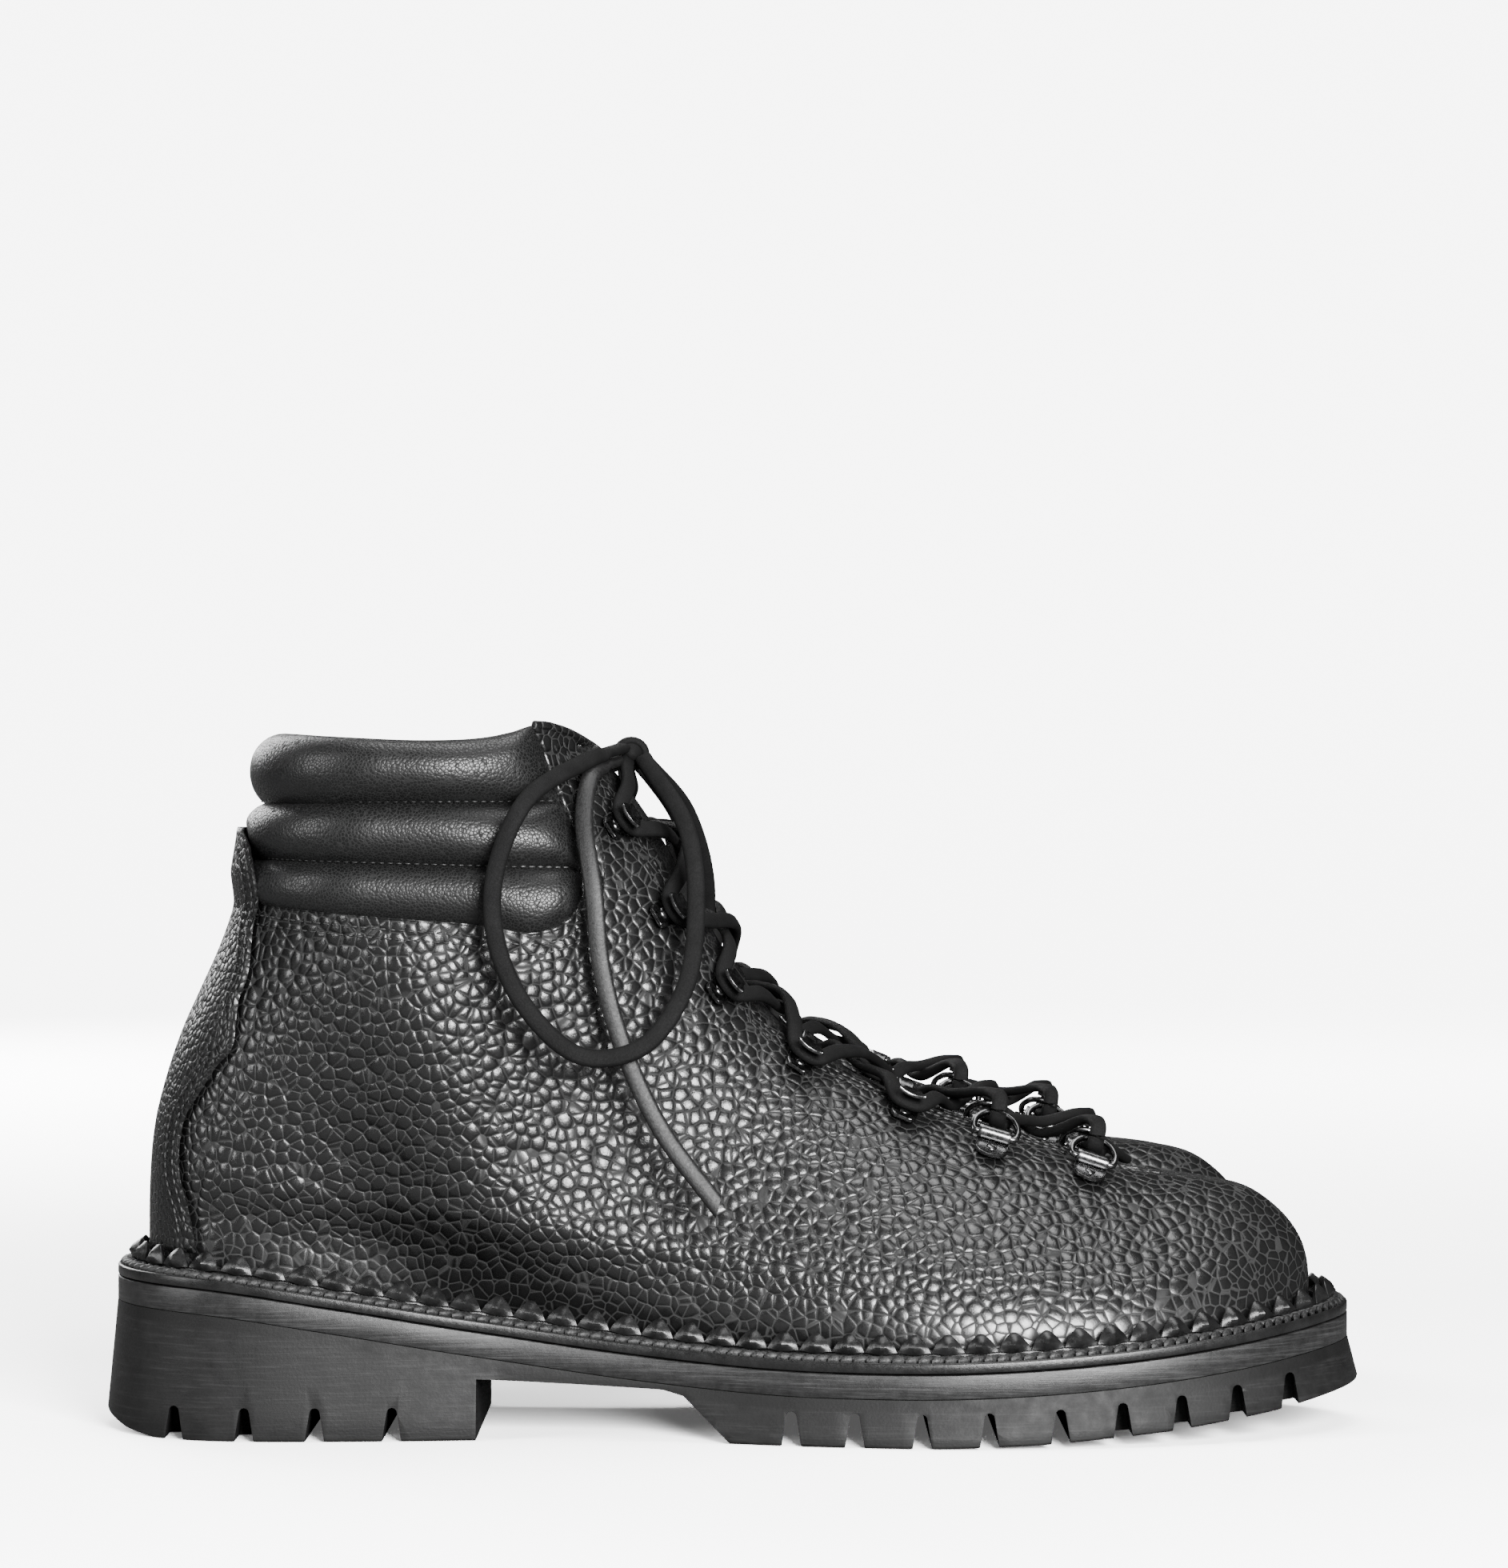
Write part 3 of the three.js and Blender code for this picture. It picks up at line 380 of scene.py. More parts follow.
def make_pair(piece, name, nodes, material=None, body="boot"):
    """Stands the piece in the right boot, and a mirrored copy of it in the left one. Each rides its body and
    stands for the CAD nodes of that boot."""
    if material:
        piece.data.materials.clear()
        piece.data.materials.append(material)
    twin = copy_of(piece)
    twin.data.transform(Matrix.Translation(Vector(LEFT_STANDS) * MM) @ Matrix.Diagonal((1, -1, 1, 1)))
    twin.data.flip_normals()
    piece.data.transform(Matrix.Translation(Vector(RIGHT_STANDS) * MM))
    for made, side in ((piece, "right"), (twin, "left")):
        made.name = f"{side}_{name}"
        made.data.name = made.name
        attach(made, f"{side}_{body}")
        for node in nodes:
            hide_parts(f"{side}_{node}")
    return piece, twin


def caps(inset, height, outward=True, count=AROUND):
    """Rings from the middle line of the sole out to its edge, which close it above or below."""
    shares = [1, 0.75, 0.5, 0.25, 0.08]
    return [sole_ring(inset, height, share, count) for share in (shares if outward else shares[::-1])]


SOLE_ROUND = 0.7
below = [
    sole_ring(SOLE_ROUND, tread_height),
    sole_ring(0.15, lambda x: tread_height(x) + 0.25),
    sole_ring(0, lambda x: tread_height(x) + SOLE_ROUND),
]
wall = [
    sole_ring(
        lerp(0, SOLE_SLOPE, share),
        lambda x, share=share: lerp(tread_height(x) + SOLE_ROUND, outsole_top(x), share),
    )
    for share in (0.25, 0.5, 0.75, 1)
]
rings = caps(SOLE_ROUND, tread_height) + below + wall + caps(SOLE_SLOPE, outsole_top, False)
outsole = loft("outsole", rings)

tools = [prism(ARCH, -80, 80)]


def groove_section(x):
    """A groove's section: wide at the ground, narrow and round at its root."""
    root = float(tread_height(x)) + GROOVE_DEPTH
    arc = [
        [x + GROOVE_ROOT / 2 * math.cos(a), root - GROOVE_ROOT / 2 + GROOVE_ROOT / 2 * math.sin(a)]
        for a in np.linspace(0, math.pi, 7)
    ]
    mouth = root - GROOVE_DEPTH - 3
    return [[x - GROOVE_MOUTH / 2, mouth], [x + GROOVE_MOUTH / 2, mouth]] + arc


for x in THROUGH_GROOVES:
    tools.append(prism(groove_section(x), -80, 80))
lateral_edge, medial_edge = sole_sides(0)
for x in SIDE_NOTCHES:
    y_out = float(np.interp(x, lateral_edge[:, 0], lateral_edge[:, 1]))
    y_in = float(np.interp(x, medial_edge[:, 0], medial_edge[:, 1]))
    tools.append(prism(groove_section(x), y_out - 20, y_out + GROOVE_REACH))
    tools.append(prism(groove_section(x), y_in - GROOVE_REACH, y_in + 20))
for tool in tools:
    cut(outsole, tool)
ease(outsole, 0.45 * MM)
close_up(outsole, 40)


def depth_below(piece, top):
    """Keeps each point's depth below a line over the sole, in metres, for the material to read."""
    co = points_of(piece)
    attribute = piece.data.attributes.new("below_top", "FLOAT", "POINT")
    attribute.data.foreach_set("value", (top(co[:, 0] / MM) * MM - co[:, 2]).astype(np.float32))


depth_below(outsole, outsole_top)


def blank(name):
    """A material with its Principled shader, and a maker of linked nodes."""
    material = bpy.data.materials.new(name)
    material.use_nodes = True
    tree = material.node_tree
    shader = tree.nodes["Principled BSDF"]

    def add(kind, inputs=None, **settings):
        node = tree.nodes.new(kind)
        for key, value in settings.items():
            setattr(node, key, value)
        for key, value in (inputs or {}).items():
            if isinstance(value, bpy.types.NodeSocket):
                tree.links.new(value, node.inputs[key])
            else:
                node.inputs[key].default_value = value
        return node

    def feed(socket, value):
        tree.links.new(value, shader.inputs[socket])

    return material, shader, add, feed


def ramp(add, fac, stops):
    """A colour ramp of grey values, as [(place, value), ...]."""
    node = add("ShaderNodeValToRGB", {"Fac": fac})
    elements = node.color_ramp.elements
    while len(elements) < len(stops):
        elements.new(0.5)
    for element, (place, value) in zip(elements, stops):
        element.position = place
        element.color = (value, value, value * 1.01, 1)
    return node.outputs["Color"]


rubber, shader, add, feed = blank("outsole_rubber")
place = add("ShaderNodeTexCoord").outputs["Object"]
mottle = add("ShaderNodeTexNoise", {"Vector": place, "Scale": 240.0, "Detail": 6.0, "Roughness": 0.65})
drawn = add("ShaderNodeMapping", {"Vector": place, "Scale": (60.0, 60.0, 1400.0)})
fine_lines = {"Vector": drawn.outputs[0], "Scale": 1.0, "Detail": 5.0, "Roughness": 0.7}
scratches = add("ShaderNodeTexNoise", fine_lines)
level = add("ShaderNodeAttribute", attribute_name="below_top").outputs["Fac"]
band = add("ShaderNodeMapRange", {"Value": level, "From Min": 0.0026, "From Max": 0.0032})
base = ramp(add, mottle.outputs["Fac"], [(0.3, 0.005), (0.7, 0.009)])
streak = ramp(add, scratches.outputs["Fac"], [(0.52, 0.0), (0.75, 0.014)])
lighter = add("ShaderNodeMix", {0: 1.0, 6: base, 7: streak}, data_type="RGBA", blend_type="ADD")
dark_band = add("ShaderNodeRGB")
dark_band.outputs[0].default_value = (0.005, 0.005, 0.005, 1)
colour = add(
    "ShaderNodeMix",
    {0: band.outputs[0], 6: dark_band.outputs[0], 7: lighter.outputs[2]},
    data_type="RGBA",
)
feed("Base Color", colour.outputs[2])
feed("Roughness", ramp(add, mottle.outputs["Fac"], [(0.25, 0.5), (0.75, 0.68)]))
shader.inputs["Specular IOR Level"].default_value = 0.3
grit = add("ShaderNodeTexNoise", {"Vector": place, "Scale": 1500.0, "Detail": 3.0})
height = add("ShaderNodeMath", {0: grit.outputs["Fac"], 1: scratches.outputs["Fac"]}, operation="ADD")
bump = add("ShaderNodeBump", {"Height": height.outputs[0], "Distance": 0.00008, "Strength": 0.6})
feed("Normal", bump.outputs[0])
make_pair(outsole, "outsole_rubber", ["outsole"], rubber)

# ---- Midsole: a layer of sole leather under the welt, glued and stitched to it. Its edge is trimmed with the
# rubber's, inked near black and burnished, which leaves fine lines along it. The shank lies in it, hidden.
SEAM = 0.35
midsole_low = lambda x: outsole_top(x) + 0.05


def side_rings(low, high, inset):
    """Rings up a trimmed edge, eased a little at its two corners."""
    stops = [(SEAM, 0), (0.08, 0.12), (0, 0.3)]
    lower = [sole_ring(inset + i, lambda x, r=r: low(x) + r) for i, r in stops]
    upper_rings = [sole_ring(inset + i, lambda x, r=r: high(x) - r) for i, r in reversed(stops)]
    return lower + upper_rings


midsole_rings = (
    caps(SOLE_SLOPE + SEAM, midsole_low)
    + side_rings(midsole_low, midsole_top, SOLE_SLOPE)
    + caps(SOLE_SLOPE + SEAM, midsole_top, False)
)
midsole = loft("midsole", midsole_rings)

edge_leather, shader, add, feed = blank("sole_edge")
place = add("ShaderNodeTexCoord").outputs["Object"]
drawn = add("ShaderNodeMapping", {"Vector": place, "Scale": (45.0, 45.0, 1500.0)})
fine_lines = {"Vector": drawn.outputs[0], "Scale": 1.0, "Detail": 6.0, "Roughness": 0.75}
scratches = add("ShaderNodeTexNoise", fine_lines)
mottle = add("ShaderNodeTexNoise", {"Vector": place, "Scale": 420.0, "Detail": 5.0, "Roughness": 0.7})
base = ramp(add, mottle.outputs["Fac"], [(0.35, 0.008), (0.68, 0.018)])
streak = ramp(add, scratches.outputs["Fac"], [(0.5, 0.0), (0.72, 0.03)])
worn = add("ShaderNodeMix", {0: 1.0, 6: base, 7: streak}, data_type="RGBA", blend_type="ADD")
feed("Base Color", worn.outputs[2])
feed("Roughness", ramp(add, scratches.outputs["Fac"], [(0.35, 0.34), (0.7, 0.55)]))
height = add("ShaderNodeMath", {0: scratches.outputs["Fac"], 1: mottle.outputs["Fac"]}, operation="ADD")
bump = add("ShaderNodeBump", {"Height": height.outputs[0], "Distance": 0.00012, "Strength": 0.55})
feed("Normal", bump.outputs[0])
make_pair(midsole, "midsole_leather", ["midsole"], edge_leather)

# ---- Storm welt: a leather strip, its flange stitched down to the midsole and its wall turned up against the
# upper. The wall's upper edge is cut and pressed into a row of pointed teeth.
UPPER_INSET = 12
WELT_WALL = 3
WELT_PLAY = 1.5
TOOTH_PITCH = 7.9
TOOTH_HEIGHT = 4.0
WALL_STEP = 2.2
welt_low = lambda x: welt_height(x) - WELT_THICKNESS + 0.02
wall_top = lambda x: welt_height(x) + WALL_STEP
wall_in = UPPER_INSET - WELT_PLAY
wall_out = wall_in - WELT_WALL
flange_rings = [
    sole_ring(SOLE_SLOPE + 0.4, welt_low),
    sole_ring(SOLE_SLOPE + 0.08, lambda x: welt_low(x) + 0.12),
    sole_ring(SOLE_SLOPE, lambda x: welt_low(x) + 0.35),
    sole_ring(SOLE_SLOPE, lambda x: welt_height(x) - 0.5),
    sole_ring(SOLE_SLOPE + 0.12, lambda x: welt_height(x) - 0.16),
    sole_ring(SOLE_SLOPE + 0.45, welt_height),
    sole_ring(SOLE_SLOPE + 1.6, lambda x: welt_height(x) - 0.25),
    sole_ring(wall_out - 0.6, lambda x: welt_height(x) - 0.1),
    sole_ring(wall_out, lambda x: welt_height(x) + 0.5),
    sole_ring(wall_out + 0.15, wall_top),
    sole_ring(wall_in, wall_top),
    sole_ring(wall_in, welt_low),
]
flange = loft("flange", flange_rings, closed=True, angle=50)


def fibrous(name, grain, rough=None, colour=None, patches=None, relief=0, strength=0.8, constants=None):
    """A material whose roughness and relief follow a fine noise, given by its scale, detail and roughness.
    Its colour follows the same noise, or the broader `patches`. `constants` are set on the shader itself."""
    made, shader, add, feed = blank(name)
    place = add("ShaderNodeTexCoord").outputs["Object"]
    as_inputs = lambda noise: {"Vector": place, **dict(zip(("Scale", "Detail", "Roughness"), noise))}
    fine = add("ShaderNodeTexNoise", as_inputs(grain)).outputs["Fac"]
    broad = add("ShaderNodeTexNoise", as_inputs(patches)).outputs["Fac"] if patches else fine
    if rough:
        feed("Roughness", ramp(add, fine, rough))
    if colour:
        feed("Base Color", ramp(add, broad, colour))
    if relief:
        bump = add("ShaderNodeBump", {"Height": fine, "Distance": relief, "Strength": strength})
        feed("Normal", bump.outputs[0])
    for socket, value in (constants or {}).items():
        shader.inputs[socket].default_value = value
    return made


welt_leather = fibrous(
    "welt_leather",
    (900.0, 6.0, 0.7),
    [(0.3, 0.24), (0.75, 0.42)],
    [(0.35, 0.004), (0.7, 0.012)],
    (160.0, 3.0),
    relief=0.00015,
    strength=0.5,
)


def along_ring(inset, height, pitch):
    """Points spaced evenly round a ring of the sole, with the way along and the way out at each, in mm."""
    ring = sole_ring(inset, height, count=6 * AROUND)
    ring = np.vstack([ring, ring[:1]])
    travel = np.concatenate([[0], np.cumsum(np.linalg.norm(np.diff(ring, axis=0), axis=1))])
    number = int(round(travel[-1] / pitch))
    at = (np.arange(number) + 0.5) * travel[-1] / number
    spots = np.stack([np.interp(at, travel, ring[:, i]) for i in range(3)], axis=1)
    ahead = np.stack([np.interp((at + 0.5) % travel[-1], travel, ring[:, i]) for i in range(3)], axis=1)
    forward = ahead - spots
    forward /= np.linalg.norm(forward, axis=1)[:, None]
    up = np.tile([0.0, 0.0, 1.0], (number, 1))
    out = np.cross(up, forward)
    out /= np.linalg.norm(out, axis=1)[:, None]
    return spots, forward, -out if out[0, 0] > 0 else out, travel[-1] / number


def repeat(template, spots, forward, out, name):
    """Copies of a small piece, drawn with X along, Y out and Z up in millimetres, at each spot."""
    shape = points_of(template)
    size = len(shape)
    up = np.cross(out, forward)
    points = (
        spots[:, None]
        + shape[None, :, :1] * forward[:, None]
        + shape[None, :, 1:2] * out[:, None]
        + shape[None, :, 2:] * up[:, None]
    )
    faces = [tuple(p.vertices) for p in template.data.polygons]
    every = [tuple(i + n * size for i in face) for n in range(len(spots)) for face in faces]
    mesh = bpy.data.meshes.new(name)
    mesh.from_pydata((points.reshape(-1, 3) * MM).tolist(), [], every)
    row = bpy.data.objects.new(name, mesh)
    bpy.context.scene.collection.objects.link(row)
    bpy.data.objects.remove(template)
    close_up(row, 40)
    return row


def thicken(piece, thickness):
    """Gives a sheet its thickness, half to each side, in the piece's own units."""
    solid = piece.modifiers.new("thick", "SOLIDIFY")
    solid.thickness = thickness
    solid.offset = 0
    apply(piece, solid)


spots, forward, out, pitch = along_ring(wall_out + 1.1, lambda x: welt_height(x) + 0.6, TOOTH_PITCH)
# A tooth leans in over the upper's edge: its foot is as wide as the pitch and its point is pressed round.
half = pitch / 2
bpy.ops.object.select_all(action="DESELECT")
bpy.ops.mesh.primitive_grid_add(x_subdivisions=6, y_subdivisions=5, size=1)
tooth = bpy.context.object
co = points_of(tooth)
across, rise = co[:, 0] * 2, co[:, 1] + 0.5
face_width = half * (1.02 - 0.84 * rise**1.15)
ridge = (1 - np.abs(across)) * (1 - np.abs(2 * rise - 0.9)) * 1.5
co[:, 0] = across * face_width
co[:, 1] = 1.3 + 1.5 * ridge - 1.3 * rise
co[:, 2] = rise * TOOTH_HEIGHT + 1.1
tooth.data.vertices.foreach_set("co", co.ravel())
thicken(tooth, 1.5)
ease(tooth, 0.25, 1)
teeth = repeat(tooth, spots, forward, out, "teeth")
welt = join([flange, teeth], "storm_welt")
make_pair(welt, "storm_welt", ["storm_welt"], welt_leather)

# ---- Outstitch: one thick waxed thread, laid round the flange in a close braid and pulled down into it.
# Each strand lies at thirty degrees to the row, and the inner row's lean the other way.
STITCH_PITCH = 3.1
STRAND_SLANT = np.array([[0.86, 0.5, 0], [-0.5, 0.86, 0], [0, 0, 1]])
spots, forward, out, pitch = along_ring(5.2, lambda x: welt_height(x) + 0.35, STITCH_PITCH)
bpy.ops.object.select_all(action="DESELECT")
bpy.ops.mesh.primitive_uv_sphere_add(segments=8, ring_count=5, radius=1)
strand = bpy.context.object
co = points_of(strand) * (pitch * 0.8, 0.85, 1.15)
slanted = co @ STRAND_SLANT.T
strand.data.vertices.foreach_set("co", slanted.ravel())
inner_row = copy_of(strand)
inner_row.data.transform(Matrix.Diagonal((1, -1, 1, 1)))
inner_row.data.flip_normals()
braid_out = repeat(strand, spots + out * 0.7, forward, out, "braid_out")
braid_in = repeat(inner_row, spots - out * 0.7 + forward * pitch * 0.5, forward, out, "braid_in")
braid = join([braid_out, braid_in], "outstitch")

thread = fibrous(
    "waxed_thread", (1800.0, 3.0), [(0.3, 0.4), (0.7, 0.65)], [(0.4, 0.008), (0.8, 0.03)], relief=0.0002
)
make_pair(braid, "outstitch", [], thread)

# ---- Upper: one piece of pebbled leather, lasted over the board, open down the front from the collar to the
# toe. Its edges at the throat and under the collar are turned and stitched.
BACK_LINE = [
    [12, 40.5],
    [12, 46],
    [12, 51],
    [12.1, 56],
    [12.3, 62],
    [12.7, 68],
    [13.8, 76],
    [16.4, 86],
    [20, 96.5],
    [24.7, 107],
    [29.2, 117],
    [32.7, 127],
    [35.2, 139],
    [37, 151],
    [39, 162],
    [41, 171],
]
FRONT_LINE = [
    [298, 31],
    [297.6, 39],
    [295.2, 47.5],
    [290.4, 54],
    [283.5, 58.6],
    [272, 61.2],
    [254, 63.4],
    [230, 70.5],
    [206, 78],
    [184, 88],
    [165, 101.5],
    [151.5, 120],
    [141.5, 138.5],
    [133.5, 151.5],
    [126.5, 161],
    [120, 168],
]
TOP_LINE = [
    [20, 171.4],
    [42, 170.6],
    [60, 169.4],
    [81, 168.6],
    [94, 169.2],
    [101, 170.6],
    [107, 172.4],
    [113, 171],
    [122, 165.5],
    [140, 158],
]
COLLAR_EDGE = [
    [20, 131],
    [39, 128.7],
    [67, 126],
    [95, 123.7],
    [106.4, 121.8],
    [114.5, 123.9],
    [118, 128.3],
    [118.6, 140.7],
    [113.8, 154],
    [110.5, 162],
    [107, 172],
]
STEPS = 15
DIP_LEVELS = 12
HEEL_ROUNDING = 31
SHAFT_ROUNDING = 42
SHAFT_HALF_WIDTH = 36
WELT_WALL_HEIGHT = 5.6
SIDE_BULGE = 3.4
BULGE_RISE = 20
BULGE_FADES = (150, 270)
SHAFT_BEGINS = (55, 115)
FOOT_BEGINS = (110, 170)
ARCH_POWER = 2.3
LEATHER = 2.4
RUN_ON = 8
FAR = 400
THROAT_FROM = 5.6
THROAT_HALF_WIDTHS = [3.5, 7, 7.5, 9, 11, 13, 14, 14, 14, 14, 14]

back_line = smooth_line(BACK_LINE)
front_line = smooth_line(FRONT_LINE)


def beside(line, distance):
    """A line in the XZ plane, moved to its right."""
    run = np.vstack([line[1:], line[-1:]]) - np.vstack([line[:1], line[:-1]])
    run /= np.linalg.norm(run, axis=1)[:, None]
    return line + distance * np.stack([run[:, 1], -run[:, 0]], axis=1)


def line_distance(line, x, z):
    """How far each point lies from a line."""
    x, z = np.broadcast_arrays(np.asarray(x, float), np.asarray(z, float))
    shape = x.shape
    points = np.stack([x.ravel(), z.ravel()], axis=1)
    sparse = line[::2] if len(line) % 2 else line
    start, run = sparse[:-1], np.diff(sparse, axis=0)
    size = np.einsum("ij,ij->i", run, run)
    nearest = np.full(len(points), 1e9)
    for chunk in range(0, len(points), 4000):
        p = points[chunk : chunk + 4000, None]
        share = np.clip(((p - start) * run).sum(2) / size, 0, 1)
        nearest[chunk : chunk + 4000] = np.linalg.norm(p - start - share[..., None] * run, axis=2).min(1)
    return nearest.reshape(shape)


def rounding(distance, radius):
    """A quarter circle's rise from 0 at a line to 1 at `radius` from it."""
    left = 1 - np.clip(distance / radius, 0, 1)
    return np.sqrt(np.maximum(0, 1 - left * left))


def skin_y(x, z, side, depth=0.0):
    """Where the boot's skin lies across the boot at (x, z), on a side (-1 lateral, 1 medial), `depth` in."""
    x, z, side, depth = np.broadcast_arrays(*(np.asarray(v, float) for v in (x, z, side, depth)))
    typical = float(np.median(depth))
    lateral, medial = sole_sides(UPPER_INSET + typical)
    lateral_y = lambda v: np.interp(v, lateral[:, 0], lateral[:, 1])
    medial_y = lambda v: np.interp(v, medial[:, 0], medial[:, 1])
    at_welt = np.abs(np.where(side < 0, lateral_y(x), medial_y(x)) - middle(x))
    level = np.maximum(x, HEEL_RADIUS)
    plan = np.abs(np.where(side < 0, lateral_y(level), medial_y(level)) - middle(x))
    wall = welt_height(x) + WELT_WALL_HEIGHT
    above = smoothstep(z, wall, wall + BULGE_RISE)
    to_shaft = smoothstep(z, *SHAFT_BEGINS)
    bulge = SIDE_BULGE * above * (1 - smoothstep(x, *BULGE_FADES))
    width = lerp(plan + bulge, SHAFT_HALF_WIDTH - depth, to_shaft)
    behind = np.where(x < np.interp(z, back_line[:, 1], back_line[:, 0]), -1, 1)
    from_back = rounding(behind * line_distance(back_line, x, z) - depth, HEEL_ROUNDING - depth)
    from_front = rounding(line_distance(front_line, x, z) - depth, SHAFT_ROUNDING - depth)
    front = beside(front_line, -typical)[::-1]
    crown = np.interp(x, np.maximum.accumulate(front[:, 0]), front[:, 1])
    share = np.clip((z - welt_height(x)) / (crown - welt_height(x)), 0, 1)
    arch = (1 - share**ARCH_POWER) ** (1 / ARCH_POWER)
    in_foot = smoothstep(x, *FOOT_BEGINS)
    high = width * lerp(from_back * from_front, arch, in_foot)
    return middle(x) + side * lerp(at_welt, high, above)


def sample(line, step):
    """The points of a smooth line at steps counted in its knots."""
    at = np.clip(np.asarray(step, float) * 16, 0, len(line) - 1)
    index = np.arange(len(line))
    return np.stack([np.interp(at, index, line[:, 0]), np.interp(at, index, line[:, 1])], axis=-1)


def skin_loops(steps, angles, depth=0.0, rise=0.0):
    """Loops round the boot, one for each step up it. The angle runs from the heel along the lateral side to
    the front and back along the medial side."""
    steps = np.asarray(steps, float)[:, None]
    angles = np.asarray(angles, float)[None]
    back, front = beside(back_line, depth), beside(front_line, -depth)
    a, b, foot, toe = (sample(line, s) for line, s in ((back, steps), (front, steps), (back, 0), (front, 0)))
    along = (1 - np.cos(angles)) / 2
    x = lerp(a[..., 0], b[..., 0], along)
    z = lerp(a[..., 1], b[..., 1], along)
    dip = np.maximum(0, 1 - steps / DIP_LEVELS)
    z = z - dip * (lerp(foot[1], toe[1], along) - welt_height(lerp(foot[0], toe[0], along)) - GAP)
    side = np.where(angles < math.pi, -1.0, 1.0) * np.ones_like(x)
    y = skin_y(x, z, side, depth)
    on_line = np.isclose(np.sin(angles), 0) * np.ones_like(x) > 0.5
    y = np.where(on_line, middle(x), y)
    return np.stack([x, y, z + rise], axis=-1)


def shell(name, outer_depth, inner_depth, count, levels):
    """A closed skin between two depths, run on above the top so that it can be cut to shape."""
    angles = 2 * math.pi * np.arange(count) / count
    steps = np.linspace(0, STEPS, levels)
    inner_steps = steps[:: max(1, levels // 50)]
    if inner_steps[-1] != steps[-1]:
        inner_steps = np.append(inner_steps, steps[-1])
    outer = skin_loops(steps, angles, outer_depth)
    inner = skin_loops(inner_steps, angles, inner_depth)
    top_out = skin_loops([STEPS], angles, outer_depth, RUN_ON)
    top_in = skin_loops([STEPS], angles, inner_depth, RUN_ON)
    rings = np.concatenate([outer, top_out, top_in, inner[::-1]])
    return loft(name, rings, closed=True)


def throat_half(step):
    """Half the throat's width at a step, from its foot to the collar."""
    share = (np.asarray(step, float) - THROAT_FROM) / (STEPS - THROAT_FROM) * (len(THROAT_HALF_WIDTHS) - 1)
    return np.interp(share, np.arange(len(THROAT_HALF_WIDTHS)), THROAT_HALF_WIDTHS)


def front_frame(step):
    """The front line's point, way up and way out at a step."""
    point = sample(front_line, step)
    run = sample(front_line, np.asarray(step) + 0.2) - sample(front_line, np.asarray(step) - 0.2)
    run /= np.linalg.norm(run, axis=-1)[..., None]
    return point, run, np.stack([run[..., 1], -run[..., 0]], axis=-1)


def seal_ends(piece):
    """Faces over a loft's open ends."""
    edit(piece)
    bpy.ops.mesh.select_all(action="DESELECT")
    bpy.ops.mesh.select_non_manifold()
    bpy.ops.mesh.edge_face_add()
    bpy.ops.mesh.select_all(action="SELECT")
    bpy.ops.mesh.normals_make_consistent(inside=False)
    bpy.ops.object.mode_set(mode="OBJECT")


def throat_tool(extra):
    """The throat as a block to cut with, `extra` wider on each side."""
    steps = np.append(np.linspace(THROAT_FROM, STEPS, 70), STEPS)
    point, _, outward = front_frame(steps)
    point = point.copy()
    point[-1] += (-14, 26)
    half = throat_half(steps) + extra
    half[0] = max(half[0], 0.3)
    deep, proud = point - 30 * outward, point + 14 * outward
    y = middle(point[:, 0])
    rings = [
        [[d[0], m - h, d[1]], [p[0], m - h, p[1]], [p[0], m + h, p[1]], [d[0], m + h, d[1]]]
        for d, p, m, h in zip(deep, proud, y, half)
    ]
    tool = loft("throat_tool", rings)
    seal_ends(tool)
    return tool


def over_top(line):
    """All that lies above a line over the boot, as a block."""
    above = [[FAR, line[-1][1]], [FAR, FAR], [-20, FAR], [-20, line[0][1]]]
    return prism([list(p) for p in line] + above, -99, 99)


def collar_tool(grow):
    """All that lies above and behind the collar's edge, as a block, moved by `grow` into the upper."""
    edge = beside(smooth_line(COLLAR_EDGE, 6), grow)
    above = [[edge[-1, 0], FAR], [-20, FAR], [-20, edge[0, 1]]]
    return prism([list(p) for p in edge] + above, -99, 99)


upper = shell("upper", 0.0, LEATHER, 220, 150)
cut(upper, throat_tool(0))
cut(upper, collar_tool(GAP))
cut(upper, over_top(smooth_line(TOP_LINE, 4)))
close_up(upper, 40)


# The upper stands fuller from the ankle down over the ball, along a curve x * z = FULL_CURVE about a corner.
FULL_FROM = (-0.095, 0.008)
FULL_CURVE = 0.0022
FULL_WIDTH = 0.019


